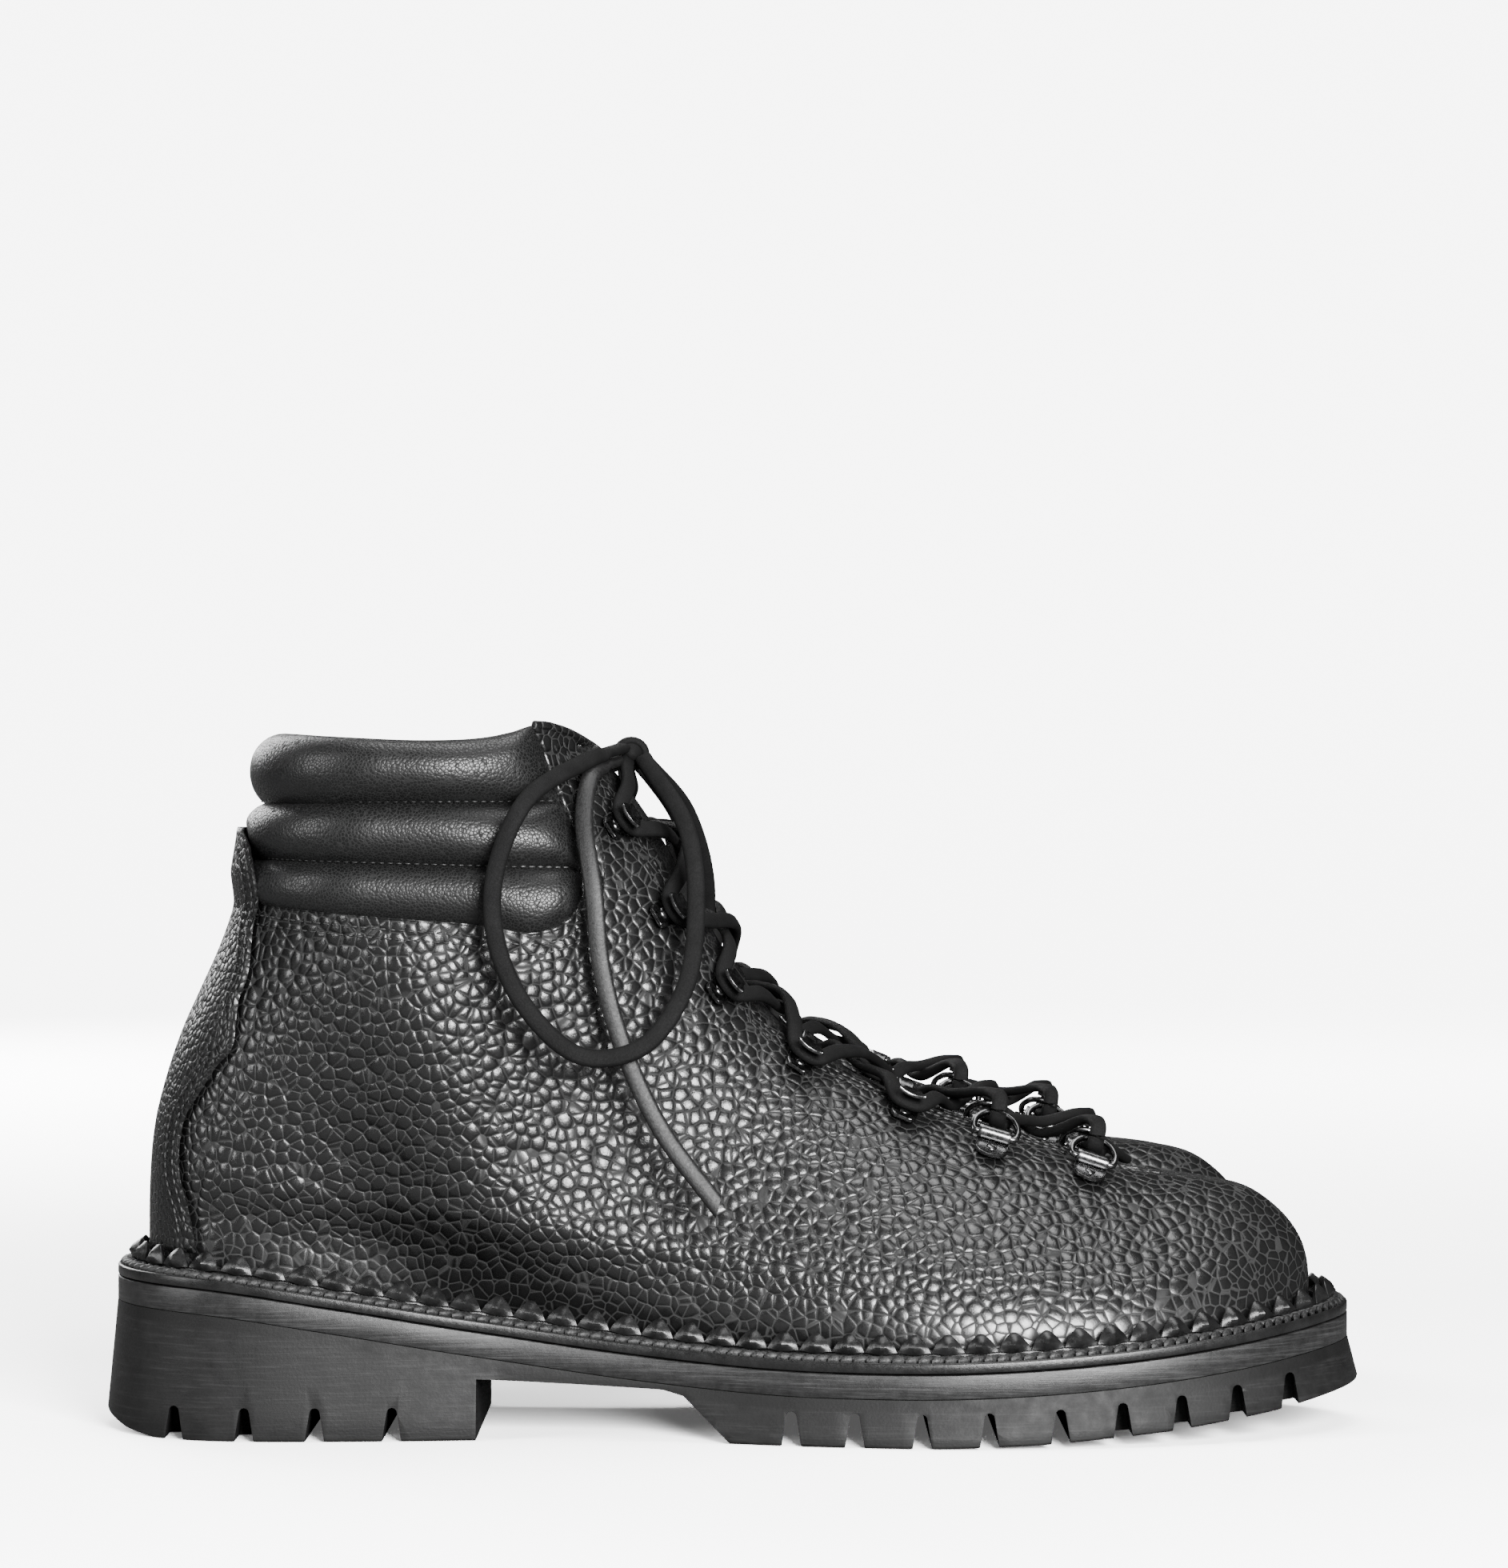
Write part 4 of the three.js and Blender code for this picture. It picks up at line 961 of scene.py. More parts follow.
def leather(
    name,
    cell,
    relief,
    low=0.001,
    high=0.006,
    dull=0.25,
    shine=0.34,
    crease=0.26,
    fine=0.25,
    calm=None,
    full=0,
    polish=0.5,
):
    """Dyed leather: pebbles of `cell` metres, `relief` high, parted by creases, over a fine grain. Its colour
    runs from `high` on the pebble tops down to `low` in the creases, which is painted shade in the creases.
    `calm` is where along the boot lasting begins and ends to stretch them flat, `full` the height of the
    swell at the ankle, and `polish` the strength of its shine."""
    made, shader, add, feed = blank(name)
    place = add("ShaderNodeTexCoord").outputs["Object"]
    drift = add("ShaderNodeTexNoise", {"Vector": place, "Scale": 0.35 / cell, "Detail": 2.0})
    mixed = {0: 0.3 * cell, 4: place, 5: drift.outputs["Color"]}
    bent = add("ShaderNodeMix", mixed, data_type="VECTOR")
    laid = {"Vector": bent.outputs[1], "Scale": 1 / cell}
    cells = add("ShaderNodeTexVoronoi", laid, feature="DISTANCE_TO_EDGE")
    edge = cells.outputs["Distance"]
    slope = add("ShaderNodeMapRange", {"Value": edge, "From Min": 0.0, "From Max": crease})
    fall = add("ShaderNodeMath", {0: 1.0, 1: slope.outputs[0]}, operation="SUBTRACT")
    steep = add("ShaderNodeMath", {0: fall.outputs[0], 1: 2.0}, operation="POWER")
    dome = add("ShaderNodeMath", {0: 1.0, 1: steep.outputs[0]}, operation="SUBTRACT")
    centres = add("ShaderNodeTexVoronoi", laid, feature="F1")
    spread = add("ShaderNodeMath", {0: centres.outputs["Distance"], 1: 2.0}, operation="POWER")
    puff = add("ShaderNodeMath", {0: spread.outputs[0], 1: -1.7}, operation="MULTIPLY")
    small = add("ShaderNodeTexNoise", {"Vector": place, "Scale": 3.2 / cell, "Detail": 4.0, "Roughness": 0.6})
    grain = add("ShaderNodeMath", {0: small.outputs["Fac"], 1: fine}, operation="MULTIPLY")
    shut = add("ShaderNodeMath", {0: dome.outputs[0], 1: 0.35}, operation="MULTIPLY")
    pillow = add("ShaderNodeMath", {0: puff.outputs[0], 1: shut.outputs[0]}, operation="ADD")
    height = add("ShaderNodeMath", {0: pillow.outputs[0], 1: grain.outputs[0]}, operation="ADD")
    bump = add("ShaderNodeBump", {"Height": height.outputs[0], "Distance": relief, "Strength": 1.0})
    if calm:
        axes = add("ShaderNodeSeparateXYZ", {"Vector": place})
        stretch = {"Value": axes.outputs["X"], "From Min": calm[0], "From Max": calm[1]}
        front = add("ShaderNodeMapRange", stretch)
        front.inputs["To Min"].default_value = 1.0
        front.inputs["To Max"].default_value = 0.3
        foot = add("ShaderNodeAttribute", attribute_name="below_top").outputs["Fac"]
        lasted = add("ShaderNodeMapRange", {"Value": foot, "From Min": 0.0, "From Max": 0.008})
        lasted.inputs["To Min"].default_value = 1.0
        lasted.inputs["To Max"].default_value = 0.35
        both = add("ShaderNodeMath", {0: front.outputs[0], 1: lasted.outputs[0]}, operation="MULTIPLY")
        made.node_tree.links.new(both.outputs[0], bump.inputs["Strength"])
    if full:
        axes = add("ShaderNodeSeparateXYZ", {"Vector": place})
        ahead = add("ShaderNodeMath", {0: axes.outputs["X"], 1: FULL_FROM[0]}, operation="SUBTRACT")
        above = add("ShaderNodeMath", {0: axes.outputs["Z"], 1: FULL_FROM[1]}, operation="SUBTRACT")
        product = add("ShaderNodeMath", {0: ahead.outputs[0], 1: above.outputs[0]}, operation="MULTIPLY")
        flat = add("ShaderNodeCombineXYZ", {"X": ahead.outputs[0], "Z": above.outputs[0]})
        spread = add("ShaderNodeVectorMath", {0: flat.outputs[0]}, operation="LENGTH")
        past = add("ShaderNodeMath", {0: product.outputs[0], 1: FULL_CURVE}, operation="SUBTRACT")
        off = add("ShaderNodeMath", {0: past.outputs[0], 1: spread.outputs["Value"]}, operation="DIVIDE")
        share = add("ShaderNodeMath", {0: off.outputs[0], 1: FULL_WIDTH}, operation="DIVIDE")
        square = add("ShaderNodeMath", {0: share.outputs[0], 1: share.outputs[0]}, operation="MULTIPLY")
        minus = add("ShaderNodeMath", {0: square.outputs[0], 1: -0.5}, operation="MULTIPLY")
        swell = add("ShaderNodeMath", {0: minus.outputs[0]}, operation="EXPONENT")
        broad = add("ShaderNodeBump", {"Height": swell.outputs[0], "Distance": full, "Strength": 1.0})
        made.node_tree.links.new(broad.outputs[0], bump.inputs["Normal"])
    feed("Normal", bump.outputs[0])
    # Painted shade: the colour darkens from the pebble tops (`high`) down into the creases between them
    # (`low`).
    feed("Base Color", ramp(add, dome.outputs[0], [(0.0, low), (1.0, high)]))
    gloss = ramp(add, small.outputs["Fac"], [(0.3, dull), (0.75, shine)])
    worn = ramp(add, dome.outputs[0], [(0.15, 0.5), (0.6, 0.0)])
    rough = add("ShaderNodeMath", {0: gloss, 1: worn}, operation="ADD")
    feed("Roughness", rough.outputs[0])
    shader.inputs["Specular IOR Level"].default_value = polish
    return made


grain_leather = leather("grain_leather", 0.0029, 0.00036, calm=(0.095, 0.14), full=0.015, polish=0.8)
depth_below(upper, lambda x: welt_height(x) + 15)
make_pair(upper, "upper", ["upper"], grain_leather)


def skin_normal(x, z, side, reach=0.4):
    """The outward normal of the upper at (x, z)."""
    slope_x = (skin_y(x + reach, z, side) - skin_y(x - reach, z, side)) / (2 * reach)
    slope_z = (skin_y(x, z + reach, side) - skin_y(x, z - reach, side)) / (2 * reach)
    normal = np.stack([-slope_x, np.ones_like(slope_x), -slope_z], axis=-1) * np.asarray(side)[..., None]
    return normal / np.linalg.norm(normal, axis=-1)[..., None]


def front_points(step, across, depth=0.0):
    """Points beside the front line at a step, `across` from the middle and `depth` under the skin."""
    angles = math.pi + np.linspace(-1.5, 1.5, 241)
    loop = skin_loops([step], angles, depth)[0]
    y = np.maximum.accumulate(loop[:, 1])
    want = np.asarray(across, float) + middle(loop[120, 0])
    return np.stack([np.interp(want, y, loop[:, 0]), want, np.interp(want, y, loop[:, 2])], axis=-1)


def unit(v):
    return v / np.maximum(np.linalg.norm(v, axis=-1)[..., None], 1e-9)


def strap(name, path, outs, wide, thick, count=10, closed=False, square=0.75, slant=0.0):
    """A strap or cord along a path: `wide` across, `thick` through, its face turned to `outs`."""
    path, outs = np.asarray(path, float), np.asarray(outs, float)
    ahead = np.roll(path, -1, axis=0) - np.roll(path, 1, axis=0)
    if not closed:
        ahead[0], ahead[-1] = path[1] - path[0], path[-1] - path[-2]
    forward = unit(ahead)
    outs = unit(outs - np.einsum("ij,ij->i", outs, forward)[:, None] * forward)
    beside_it = np.cross(forward, outs)
    angle = 2 * math.pi * np.arange(count) / count
    c, s = np.cos(angle), np.sin(angle)
    half_wide = np.sign(c) * np.abs(c) ** square * wide / 2
    half_thick = np.sign(s) * np.abs(s) ** square * thick / 2
    rings = (
        path[:, None]
        + half_wide[None, :, None] * beside_it[:, None]
        + half_thick[None, :, None] * outs[:, None]
    )
    if slant:
        rings[-1] += half_wide[:, None] * slant * forward[-1]
    if not closed:
        first, last = rings[0], rings[-1]
        rings = np.concatenate(
            [
                [lerp(first, first.mean(0), 0.97)],
                [lerp(first, first.mean(0), 0.3) - forward[0] * 0.05],
                rings,
                [lerp(last, last.mean(0), 0.3) + forward[-1] * 0.05],
                [lerp(last, last.mean(0), 0.97)],
            ]
        )
    piece = loft(name, rings, closed=closed, angle=60)
    if not closed:
        seal_ends(piece)
    return piece


def evenly(path, outs, pitch):
    """Spots at an even pitch along a path, with the way forward and the way out at each."""
    path, outs = np.asarray(path, float), np.asarray(outs, float)
    travel = np.concatenate([[0], np.cumsum(np.linalg.norm(np.diff(path, axis=0), axis=1))])
    number = max(2, int(travel[-1] / pitch))
    at = (np.arange(number) + 0.5) * travel[-1] / number
    pick = lambda rows: np.stack([np.interp(at, travel, rows[:, i]) for i in range(3)], axis=1)
    spots, out = pick(path), unit(pick(outs))
    forward = unit(np.gradient(spots, axis=0))
    out = unit(out - np.einsum("ij,ij->i", out, forward)[:, None] * forward)
    return spots, forward, out


def stitch_row(path, outs, pitch=2.3, length=1.75, wide=0.62):
    """A row of stitches along a path: short rounded strokes, half sunk."""
    spots, forward, out = evenly(path, outs, pitch)
    bpy.ops.object.select_all(action="DESELECT")
    bpy.ops.mesh.primitive_uv_sphere_add(segments=6, ring_count=4, radius=1)
    stroke = bpy.context.object
    co = points_of(stroke)[:, [2, 0, 1]] * (length / 2, wide / 2, wide / 2)
    stroke.data.vertices.foreach_set("co", co.ravel())
    return repeat(stroke, spots + out * 0.12, forward, out, "stitches")


def on_side(points, side, depth=0.0):
    """[x, z] points laid on one side of the upper, with their normals."""
    p = np.asarray(points, float)
    y = skin_y(p[:, 0], p[:, 1], side, depth)
    return np.stack([p[:, 0], y, p[:, 1]], axis=1), skin_normal(p[:, 0], p[:, 1], side * np.ones(len(p)))


# ---- Turned edges and seams of the upper: a rolled bead along the throat and under the collar, with two rows
# of stitches beside each.
facing_steps = np.linspace(THROAT_FROM + 0.02, 14.72, 110)


def facing_line(side, extra, depth, steps=facing_steps):
    """A line up the facing, `extra` back from the throat's edge, with its normals."""
    points = np.array([front_points(s, [side * (float(throat_half(s)) + extra)], depth)[0] for s in steps])
    normals = skin_normal(points[:, 0], points[:, 2], side * np.ones(len(points)))
    return points, normals


collar_seam = smooth_line(COLLAR_EDGE, 8)
top_strip = smooth_line([[106.6, 172.3], [110, 172], [113, 171], [118, 168.4], [122.4, 165.3]], 6)
beads, seams = [], []
for side in (-1, 1):
    path, outs = facing_line(side, 0.2, 1.15)
    beads.append(strap("bead", path, outs, 2.3, 2.5, 10, square=1.0))
    for extra in (3.0, 5.4):
        path, outs = facing_line(side, extra, -0.05, facing_steps[4:-2])
        seams.append(stitch_row(path, outs))
    hem = beside(collar_seam, -0.15)[6:]
    path, outs = on_side(hem, side, 1.1)
    beads.append(strap("bead", path, outs, 2.1, 2.4, 10, square=1.0))
    for grow in (2.6, 4.8):
        row = beside(collar_seam, grow)
        row = row[(row[:, 0] > 36) & (row[:, 1] < 169)]
        path, outs = on_side(row, side, -0.05)
        seams.append(stitch_row(path, outs))
    path, outs = on_side(top_strip, side, 1.15)
    beads.append(strap("bead", path, outs, 2.3, 2.5, 10, square=1.0))
make_pair(join(beads, "turned_edges"), "upper_turned_edges", [], grain_leather)
make_pair(join(seams, "upper_stitching"), "upper_stitching", [], thread)

# ---- Lining: thin, soft leather inside the upper, cut back a little at the throat and the collar.
LINING = 1.5
lining_depth = LEATHER + 0.45
lining = shell("lining", lining_depth, lining_depth + LINING, 120, 60)
cut(lining, throat_tool(0.6))
cut(lining, collar_tool(GAP))
cut(lining, over_top(smooth_line(TOP_LINE, 4)))
close_up(lining, 40)
lining_leather = leather("lining_leather", 0.0009, 0.00008, low=0.008, high=0.014, dull=0.5, shine=0.7)
make_pair(lining, "lining", ["lining"], lining_leather)

# ---- Footbed, board and shank: a loose leather-covered sole on a stiff leather board, over a steel strip.
# Only the footbed can be seen, from above.
FOOTBED_THICKNESS = 4
footbed_inset = UPPER_INSET + lining_depth + LINING + 2.4
footbed_low = lambda x: welt_height(x) - WELT_THICKNESS + 2.4 + GAP
footbed_top = lambda x: footbed_low(x) + FOOTBED_THICKNESS
footbed_rings = (
    caps(footbed_inset + 0.3, footbed_low, count=120)
    + [sole_ring(footbed_inset, lambda x: footbed_low(x) + 0.4, count=120)]
    + [sole_ring(footbed_inset, lambda x: footbed_top(x) - 1.0, count=120)]
    + [sole_ring(footbed_inset + 0.35, lambda x: footbed_top(x) - 0.3, count=120)]
    + caps(footbed_inset + 1.2, footbed_top, False, 120)
)
footbed = loft("footbed", footbed_rings)
make_pair(footbed, "footbed", ["footbed"], lining_leather)

board = fibrous(
    "insole_board", (700.0, 6.0), colour=[(0.3, 0.16), (0.7, 0.3)], constants={"Roughness": 0.85}
)
steel = fibrous(
    "shank_steel",
    (900.0, 4.0),
    [(0.3, 0.3), (0.7, 0.5)],
    constants={"Base Color": (0.4, 0.4, 0.42, 1), "Metallic": 1.0},
)
for side in ("right", "left"):
    for node, material in (("insole_board", board), ("shank", steel)):
        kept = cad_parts[f"{side}_{node}"]
        kept.data.materials.clear()
        kept.data.materials.append(material)

# ---- Collar: soft, fine-grained leather over foam, sewn through twice so that it stands in three rolls, with
# its lower and front edges let in behind the upper. Each channel's height is given at the heel and in front.
CHANNELS = [(140.2, 137.4), (153.4, 153.6)]
CHANNEL_FROM = 20
CHANNEL_RUN = 98
SWELL = [2.6, 3.0, 3.9]
VALLEY = 1.3
COLLAR_INNER = 9.3
TOP_ROUND = 7.0
LET_IN = 1.6
LET_IN_FADE = 8.0
FRONT_LOW = 123.9
FRONT_HIGH = 172
collar_low = smooth_line(COLLAR_EDGE[:6], 6)
collar_front = smooth_line(COLLAR_EDGE[5:], 6)
top_line = smooth_line(TOP_LINE, 6)
low_at = lambda x: np.interp(x, collar_low[:, 0], collar_low[:, 1])
top_at = lambda x: np.interp(x, top_line[:, 0], top_line[:, 1])
front_at = lambda z: np.interp(z, collar_front[:, 1], collar_front[:, 0])
back_x = lambda z: np.interp(z, back_line[:, 1], back_line[:, 0])
front_x = lambda z: np.interp(z, front_line[:, 1], front_line[:, 0])
channel_at = lambda x, k: lerp(*CHANNELS[k], np.clip((x - CHANNEL_FROM) / CHANNEL_RUN, 0, 1))


def roll(q):
    """A padded roll's height from seam to seam, 0 to 1."""
    return (1 - np.abs(2 * q - 1) ** 2.2) ** 0.8


def collar_section(x):
    """The collar's section at x as [depth, z, share of the swell], from its lower edge up, over and down."""
    low, one, two, top = low_at(x) - 0.8, channel_at(x, 0), channel_at(x, 1), top_at(x)
    tab = 1 - smoothstep(x, 33, 40)
    q = np.linspace(0, 1, 15)[:-1]
    rows = [[VALLEY - (VALLEY + SWELL[0] * (1 - tab)) * roll(s), lerp(low, one, s)] for s in q]
    tuck = lambda s: 1 - tab * (1 - smoothstep(s, 0.2, 0.8))
    rows += [[VALLEY - (VALLEY + SWELL[1]) * roll(s) * tuck(s), lerp(one, two, s)] for s in q]
    crest = SWELL[2]
    rise = lambda s: VALLEY - (VALLEY + crest) * roll(s / 2)
    rows += [[rise(s), lerp(two, top - TOP_ROUND, s)] for s in q]
    middle_depth, reach = (COLLAR_INNER - crest) / 2, (COLLAR_INNER + crest) / 2
    turn = np.linspace(0, math.pi, 17)[:-1]
    rows += [[middle_depth - reach * math.cos(a), top - TOP_ROUND + TOP_ROUND * math.sin(a)] for a in turn]
    inside = lambda s: COLLAR_INNER - 1.2 * math.sin(math.pi * s) - 0.6 * s
    rows += [[inside(s), lerp(top - TOP_ROUND, low + 1, s)] for s in q]
    rows += [[lerp(COLLAR_INNER - 0.6, VALLEY, s), low] for s in np.linspace(0, 1, 5)[:-1]]
    return np.array(rows)


columns = np.concatenate([-np.linspace(1, 0, 91), np.linspace(0, 1, 91)[1:]])
rings = []
# The front edge and the section depend on each other, so each column is settled in three rounds.
for c in columns:
    x = 60.0 + 58 * abs(c)
    section = collar_section(x)
    for _ in range(3):
        share = (section[:, 1] - FRONT_LOW) / (FRONT_HIGH - FRONT_LOW)
        x_edge = front_at(lerp(FRONT_LOW, FRONT_HIGH, np.clip(share, 0, 1)))
        x_back = back_x(section[:, 1]) + section[:, 0]
        x_front = front_x(section[:, 1]) - section[:, 0]
        limit = np.arccos(np.clip(1 - 2 * (x_edge - x_back) / (x_front - x_back), -1, 1))
        x = x_back + (x_front - x_back) * (1 - np.cos(abs(c) * limit)) / 2
        section = collar_section(float(np.median(x)))
        zs = section[:, 1]
        low_m, top_m = low_at(np.median(x)), top_at(np.median(x))
        share = (zs - low_m) / (top_m - low_m)
        section[:, 1] = low_at(x) + share * (top_at(x) - low_at(x))
    fade = rounding(x_edge - x, LET_IN_FADE)
    depth = np.where(section[:, 0] < LET_IN, lerp(LET_IN, section[:, 0], fade), section[:, 0])
    side = -1.0 if c < 0 else 1.0
    y = skin_y(x, section[:, 1], side, depth) if abs(c) > 1e-6 else np.zeros_like(x)
    rings.append(np.stack([x, y, section[:, 1]], axis=1))
rings = np.array(rings)
ends = lambda ring, s: lerp(ring, ring.mean(0), s)
first, last = rings[0], rings[-1]
rings = np.concatenate([[ends(first, 0.9), ends(first, 0.4)], rings, [ends(last, 0.4), ends(last, 0.9)]])
collar = loft("collar", rings, angle=60)
seal_ends(collar)
collar_leather = leather(
    "collar_leather", 0.00085, 0.00004, low=0.002, high=0.004, dull=0.3, shine=0.4, crease=0.35, fine=0.5
)
for piece in make_pair(collar, "collar", ["collar"], collar_leather):
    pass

channel_seams = []
for side in (-1, 1):
    for k in (0, 1):
        x = np.concatenate([np.linspace(38, 60, 12), np.linspace(62, 115.5 - 4.0 * k, 30)])
        z = channel_at(x, k) + 0.3
        y = skin_y(x, z, side, VALLEY - 0.15)
        normals = skin_normal(x, z, side * np.ones(len(x)))
        channel_seams.append(stitch_row(np.stack([x, y, z], axis=1), normals, 2.1, 1.7, 0.7))
make_pair(join(channel_seams, "collar_stitching"), "collar_stitching", [], thread)

# ---- Backstay: a shaped strip of the same leather over the heel seam, sewn down both edges, with a tab that
# stands over the collar's lowest roll.
BACKSTAY_EDGE = [
    [24.4, 44],
    [22.4, 54],
    [20, 63],
    [20, 70],
    [21.5, 77],
    [25, 82.5],
    [29.6, 89.4],
    [33.6, 94],
    [35, 105.4],
    [37.2, 111.6],
    [38.2, 123.6],
    [39.4, 129],
    [38.4, 137],
    [36.6, 143.6],
    [34.2, 146.4],
]
BACKSTAY_THICKNESS = 1.7
BACKSTAY_PLAY = 0.15
stay_edge = smooth_line(BACKSTAY_EDGE, 8)


def stay_lift(z):
    """How far the strip stands off the skin: its tab stands over the collar."""
    return 2.6 * smoothstep(z, 127, 138)


def stay_ring(z, x_edge, thick):
    """A ring of the strip at a height: over its outer face from edge to edge, and back along its inner."""
    inner = -float(stay_lift(z)) - BACKSTAY_PLAY
    c = np.linspace(-1, 1, 49)
    rows = []
    for here, ways in ((inner - thick, c), (inner, c[::-1])):
        x_back = float(back_x(z)) + here
        x_front = float(front_x(z)) - here
        limit = math.acos(1 - 2 * (max(x_edge, x_back + 0.3) - x_back) / (x_front - x_back))
        x = x_back + (x_front - x_back) * (1 - np.cos(np.abs(ways) * limit)) / 2
        d = np.where(np.abs(ways) > 0.999, inner - thick / 2, here)
        side = np.where(ways < 0, -1.0, 1.0)
        y = skin_y(x, np.full_like(x, z), side, d)
        y = np.where(np.abs(ways) < 1e-6, 0.0, y)
        rows.append(np.stack([x, y, np.full_like(x, z)], axis=1))
    return np.concatenate(rows)


rings = []
for x_edge, z in stay_edge:
    rings.append(stay_ring(float(z), float(x_edge), BACKSTAY_THICKNESS))
top_ring = rings[-1]
rings.append(top_ring * (1, 0.55, 1) + (0, 0, 0.8))
rings.append(top_ring * (1, 0.05, 1) + (0, 0, 1.0))
backstay = loft("backstay", rings, angle=50)
seal_ends(backstay)
smooth_leather = leather("smooth_leather", 0.0019, 0.00018, dull=0.28, shine=0.4)
make_pair(backstay, "backstay", ["backstay"], smooth_leather)

stay_seams = []
for side in (-1, 1):
    for back in (1.6, 3.6):
        row = beside(stay_edge, -back)[4:-6]
        y = skin_y(row[:, 0], row[:, 1], side, -stay_lift(row[:, 1]) - BACKSTAY_THICKNESS - 0.2)
        clear = np.maximum(row[:, 0], back_x(row[:, 1]) + 1.5)
        normals = skin_normal(clear, row[:, 1], side * np.ones(len(row)))
        stay_seams.append(stitch_row(np.stack([row[:, 0], y, row[:, 1]], axis=1), normals))
make_pair(join(stay_seams, "backstay_stitching"), "backstay_stitching", [], thread)

# ---- Tongue: a padded flap of softer leather that fills the throat and runs on under both facings.
TONGUE_STEPS = np.linspace(THROAT_FROM - 0.2, 14.95, 90)
TONGUE_MARGIN = 9
TONGUE_TUCK = 5.2
TONGUE_CROWN = 0.9
TONGUE_BACK = 7.6
rings = []
for s in TONGUE_STEPS:
    half = float(throat_half(max(s, THROAT_FROM)))
    wide = half + TONGUE_MARGIN * float(smoothstep(s, THROAT_FROM - 0.4, THROAT_FROM + 1.5)) + 1.0
    t = np.linspace(-1, 1, 33)
    y = t * wide
    crown = smoothstep(np.abs(y), half + 0.5, half - 3.5 if half > 6 else 0.5)
    outer_depth = TONGUE_TUCK - (TONGUE_TUCK - TONGUE_CROWN) * crown + 0.5 * np.cos(y * 0.55) * crown
    levels = [front_points(s, y, d) for d in (0.0, 4.0, 8.0)]
    upper_half = lambda d: lerp(levels[0], levels[1], d / 4)
    lower_half = lambda d: lerp(levels[1], levels[2], (d - 4) / 4)
    at = lambda d: np.where(d[:, None] < 4, upper_half(d[:, None]), lower_half(d[:, None]))
    upper_face = at(outer_depth)
    lower_face = at(np.full_like(y, TONGUE_BACK))[::-1]
    rings.append(np.concatenate([upper_face, lower_face]))
rings = np.array(rings)
last = rings[-1]
tip = [ends(last, 0.35) + (-0.7, 0, 1.1), ends(last, 0.9) + (-0.8, 0, 1.3)]
rings = np.concatenate([[ends(rings[0], 0.8)], rings, tip])
tongue = loft("tongue", rings, angle=60)
seal_ends(tongue)
tongue_leather = leather("tongue_leather", 0.0012, 0.0001, low=0.002, dull=0.34, shine=0.5)
for piece in make_pair(tongue, "tongue", ["tongue"], tongue_leather):
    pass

# ---- Hooks, ring clips and D-rings: pressed plate and wire in black nickel, riveted through the facings, two
# rings and then five hooks to a side. Each ring swings on its bar in its clip.
RING_SEATS = [[242, 63.6], [218, 70]]
HOOK_SEATS = [[197, 78.6], [172, 91.2], [153, 108.7], [140, 127.5], [128, 149]]
PLATE = 1
BENT_PLATE = 0.85
HOOK_WIDTH = 6.6
HOOK_BASE_LENGTH = 9.5
HOOK_NECK_LENGTH = 1.3
WIRE_RADIUS = 0.8
RING_REACH = 6.8
RING_HALF_WIDTH = 5.5
RING_TILT = 24
CLIP_WIDTH = 8
ROLL_RADIUS = 1.9
SEAT_LIFT = 0.9
LACE_RADIUS = 1.25
LACE_LIFT = 0.6
LIP_HEIGHT = 3 * LACE_LIFT + 2 * LACE_RADIUS + PLATE

nickel = fibrous(
    "black_nickel",
    (1200.0, 4.0),
    [(0.3, 0.16), (0.7, 0.3)],
    [(0.35, 0.09), (0.75, 0.2)],
    constants={"Metallic": 1.0},
)


def seat_at(place, side):
    """A seat on the upper: its point, the way out, the way up the facing and the way back from the throat."""
    x, z = place
    normal = skin_normal(x, z, side, 0.5)
    nearest = int(np.argmin(np.hypot(front_line[:, 0] - x, front_line[:, 1] - z)))
    run = front_line[min(nearest + 6, len(front_line) - 1)] - front_line[max(nearest - 6, 0)]
    along = np.array([run[0], 0, run[1]])
    along = unit(along - along.dot(normal) * normal)
    rear = np.cross(along, normal)
    if rear[1] * side < 0:
        rear = -rear
    on_skin = np.array([x, float(skin_y(x, z, side)), z])
    proud = 0.0
    for back in (0, HOOK_BASE_LENGTH / 2, HOOK_BASE_LENGTH - 1):
        for up in (-HOOK_WIDTH / 2, 0, HOOK_WIDTH / 2):
            p = on_skin + rear * back + along * up
            gap = np.array([p[0], float(skin_y(p[0], p[2], side)), p[2]]) - p
            proud = max(proud, float(gap.dot(normal)))
    origin = on_skin + normal * (SEAT_LIFT + proud)
    return {"origin": origin, "normal": normal, "along": along, "rear": rear, "step": nearest / 16}


def seat_copy(template, seat, out, name):
    """A copy of a fitting, drawn with X back from the throat and Z out, set on its seat."""
    copy = copy_of(template)
    across = np.cross(seat["normal"], seat["rear"])
    turn = Matrix([*zip(seat["rear"], across, seat["normal"])]).to_4x4()
    copy.data.transform(Matrix.Translation(Vector((seat["origin"] + seat["normal"] * out) * MM)) @ turn)
    copy.name = name
    return copy


def plate_patch(name, columns, rows, shape, thick, round_off=0.22):
    """A pressed plate: a grid drawn in millimetres by shape(u, v), given its thickness and eased edges."""
    bpy.ops.object.select_all(action="DESELECT")
    bpy.ops.mesh.primitive_grid_add(x_subdivisions=columns, y_subdivisions=rows, size=1)
    plate = bpy.context.object
    co = points_of(plate)
    plate.data.vertices.foreach_set("co", (shape(co[:, 0] + 0.5, co[:, 1] + 0.5) * MM).ravel())
    close_up(plate, 40)
    thicken(plate, thick * MM)
    ease(plate, round_off * MM)
    close_up(plate, 40)
    plate.name = name
    return plate


def hook_base(u, v):
    x = lerp(-1.0, HOOK_BASE_LENGTH - 1, u)
    wide = HOOK_WIDTH / 2 * np.where(u > 0.75, np.sqrt(1 - ((u - 0.75) / 0.25 * 0.75) ** 2), 1)
    return np.stack([x, (2 * v - 1) * wide, 0.5 + 0 * x], axis=1)


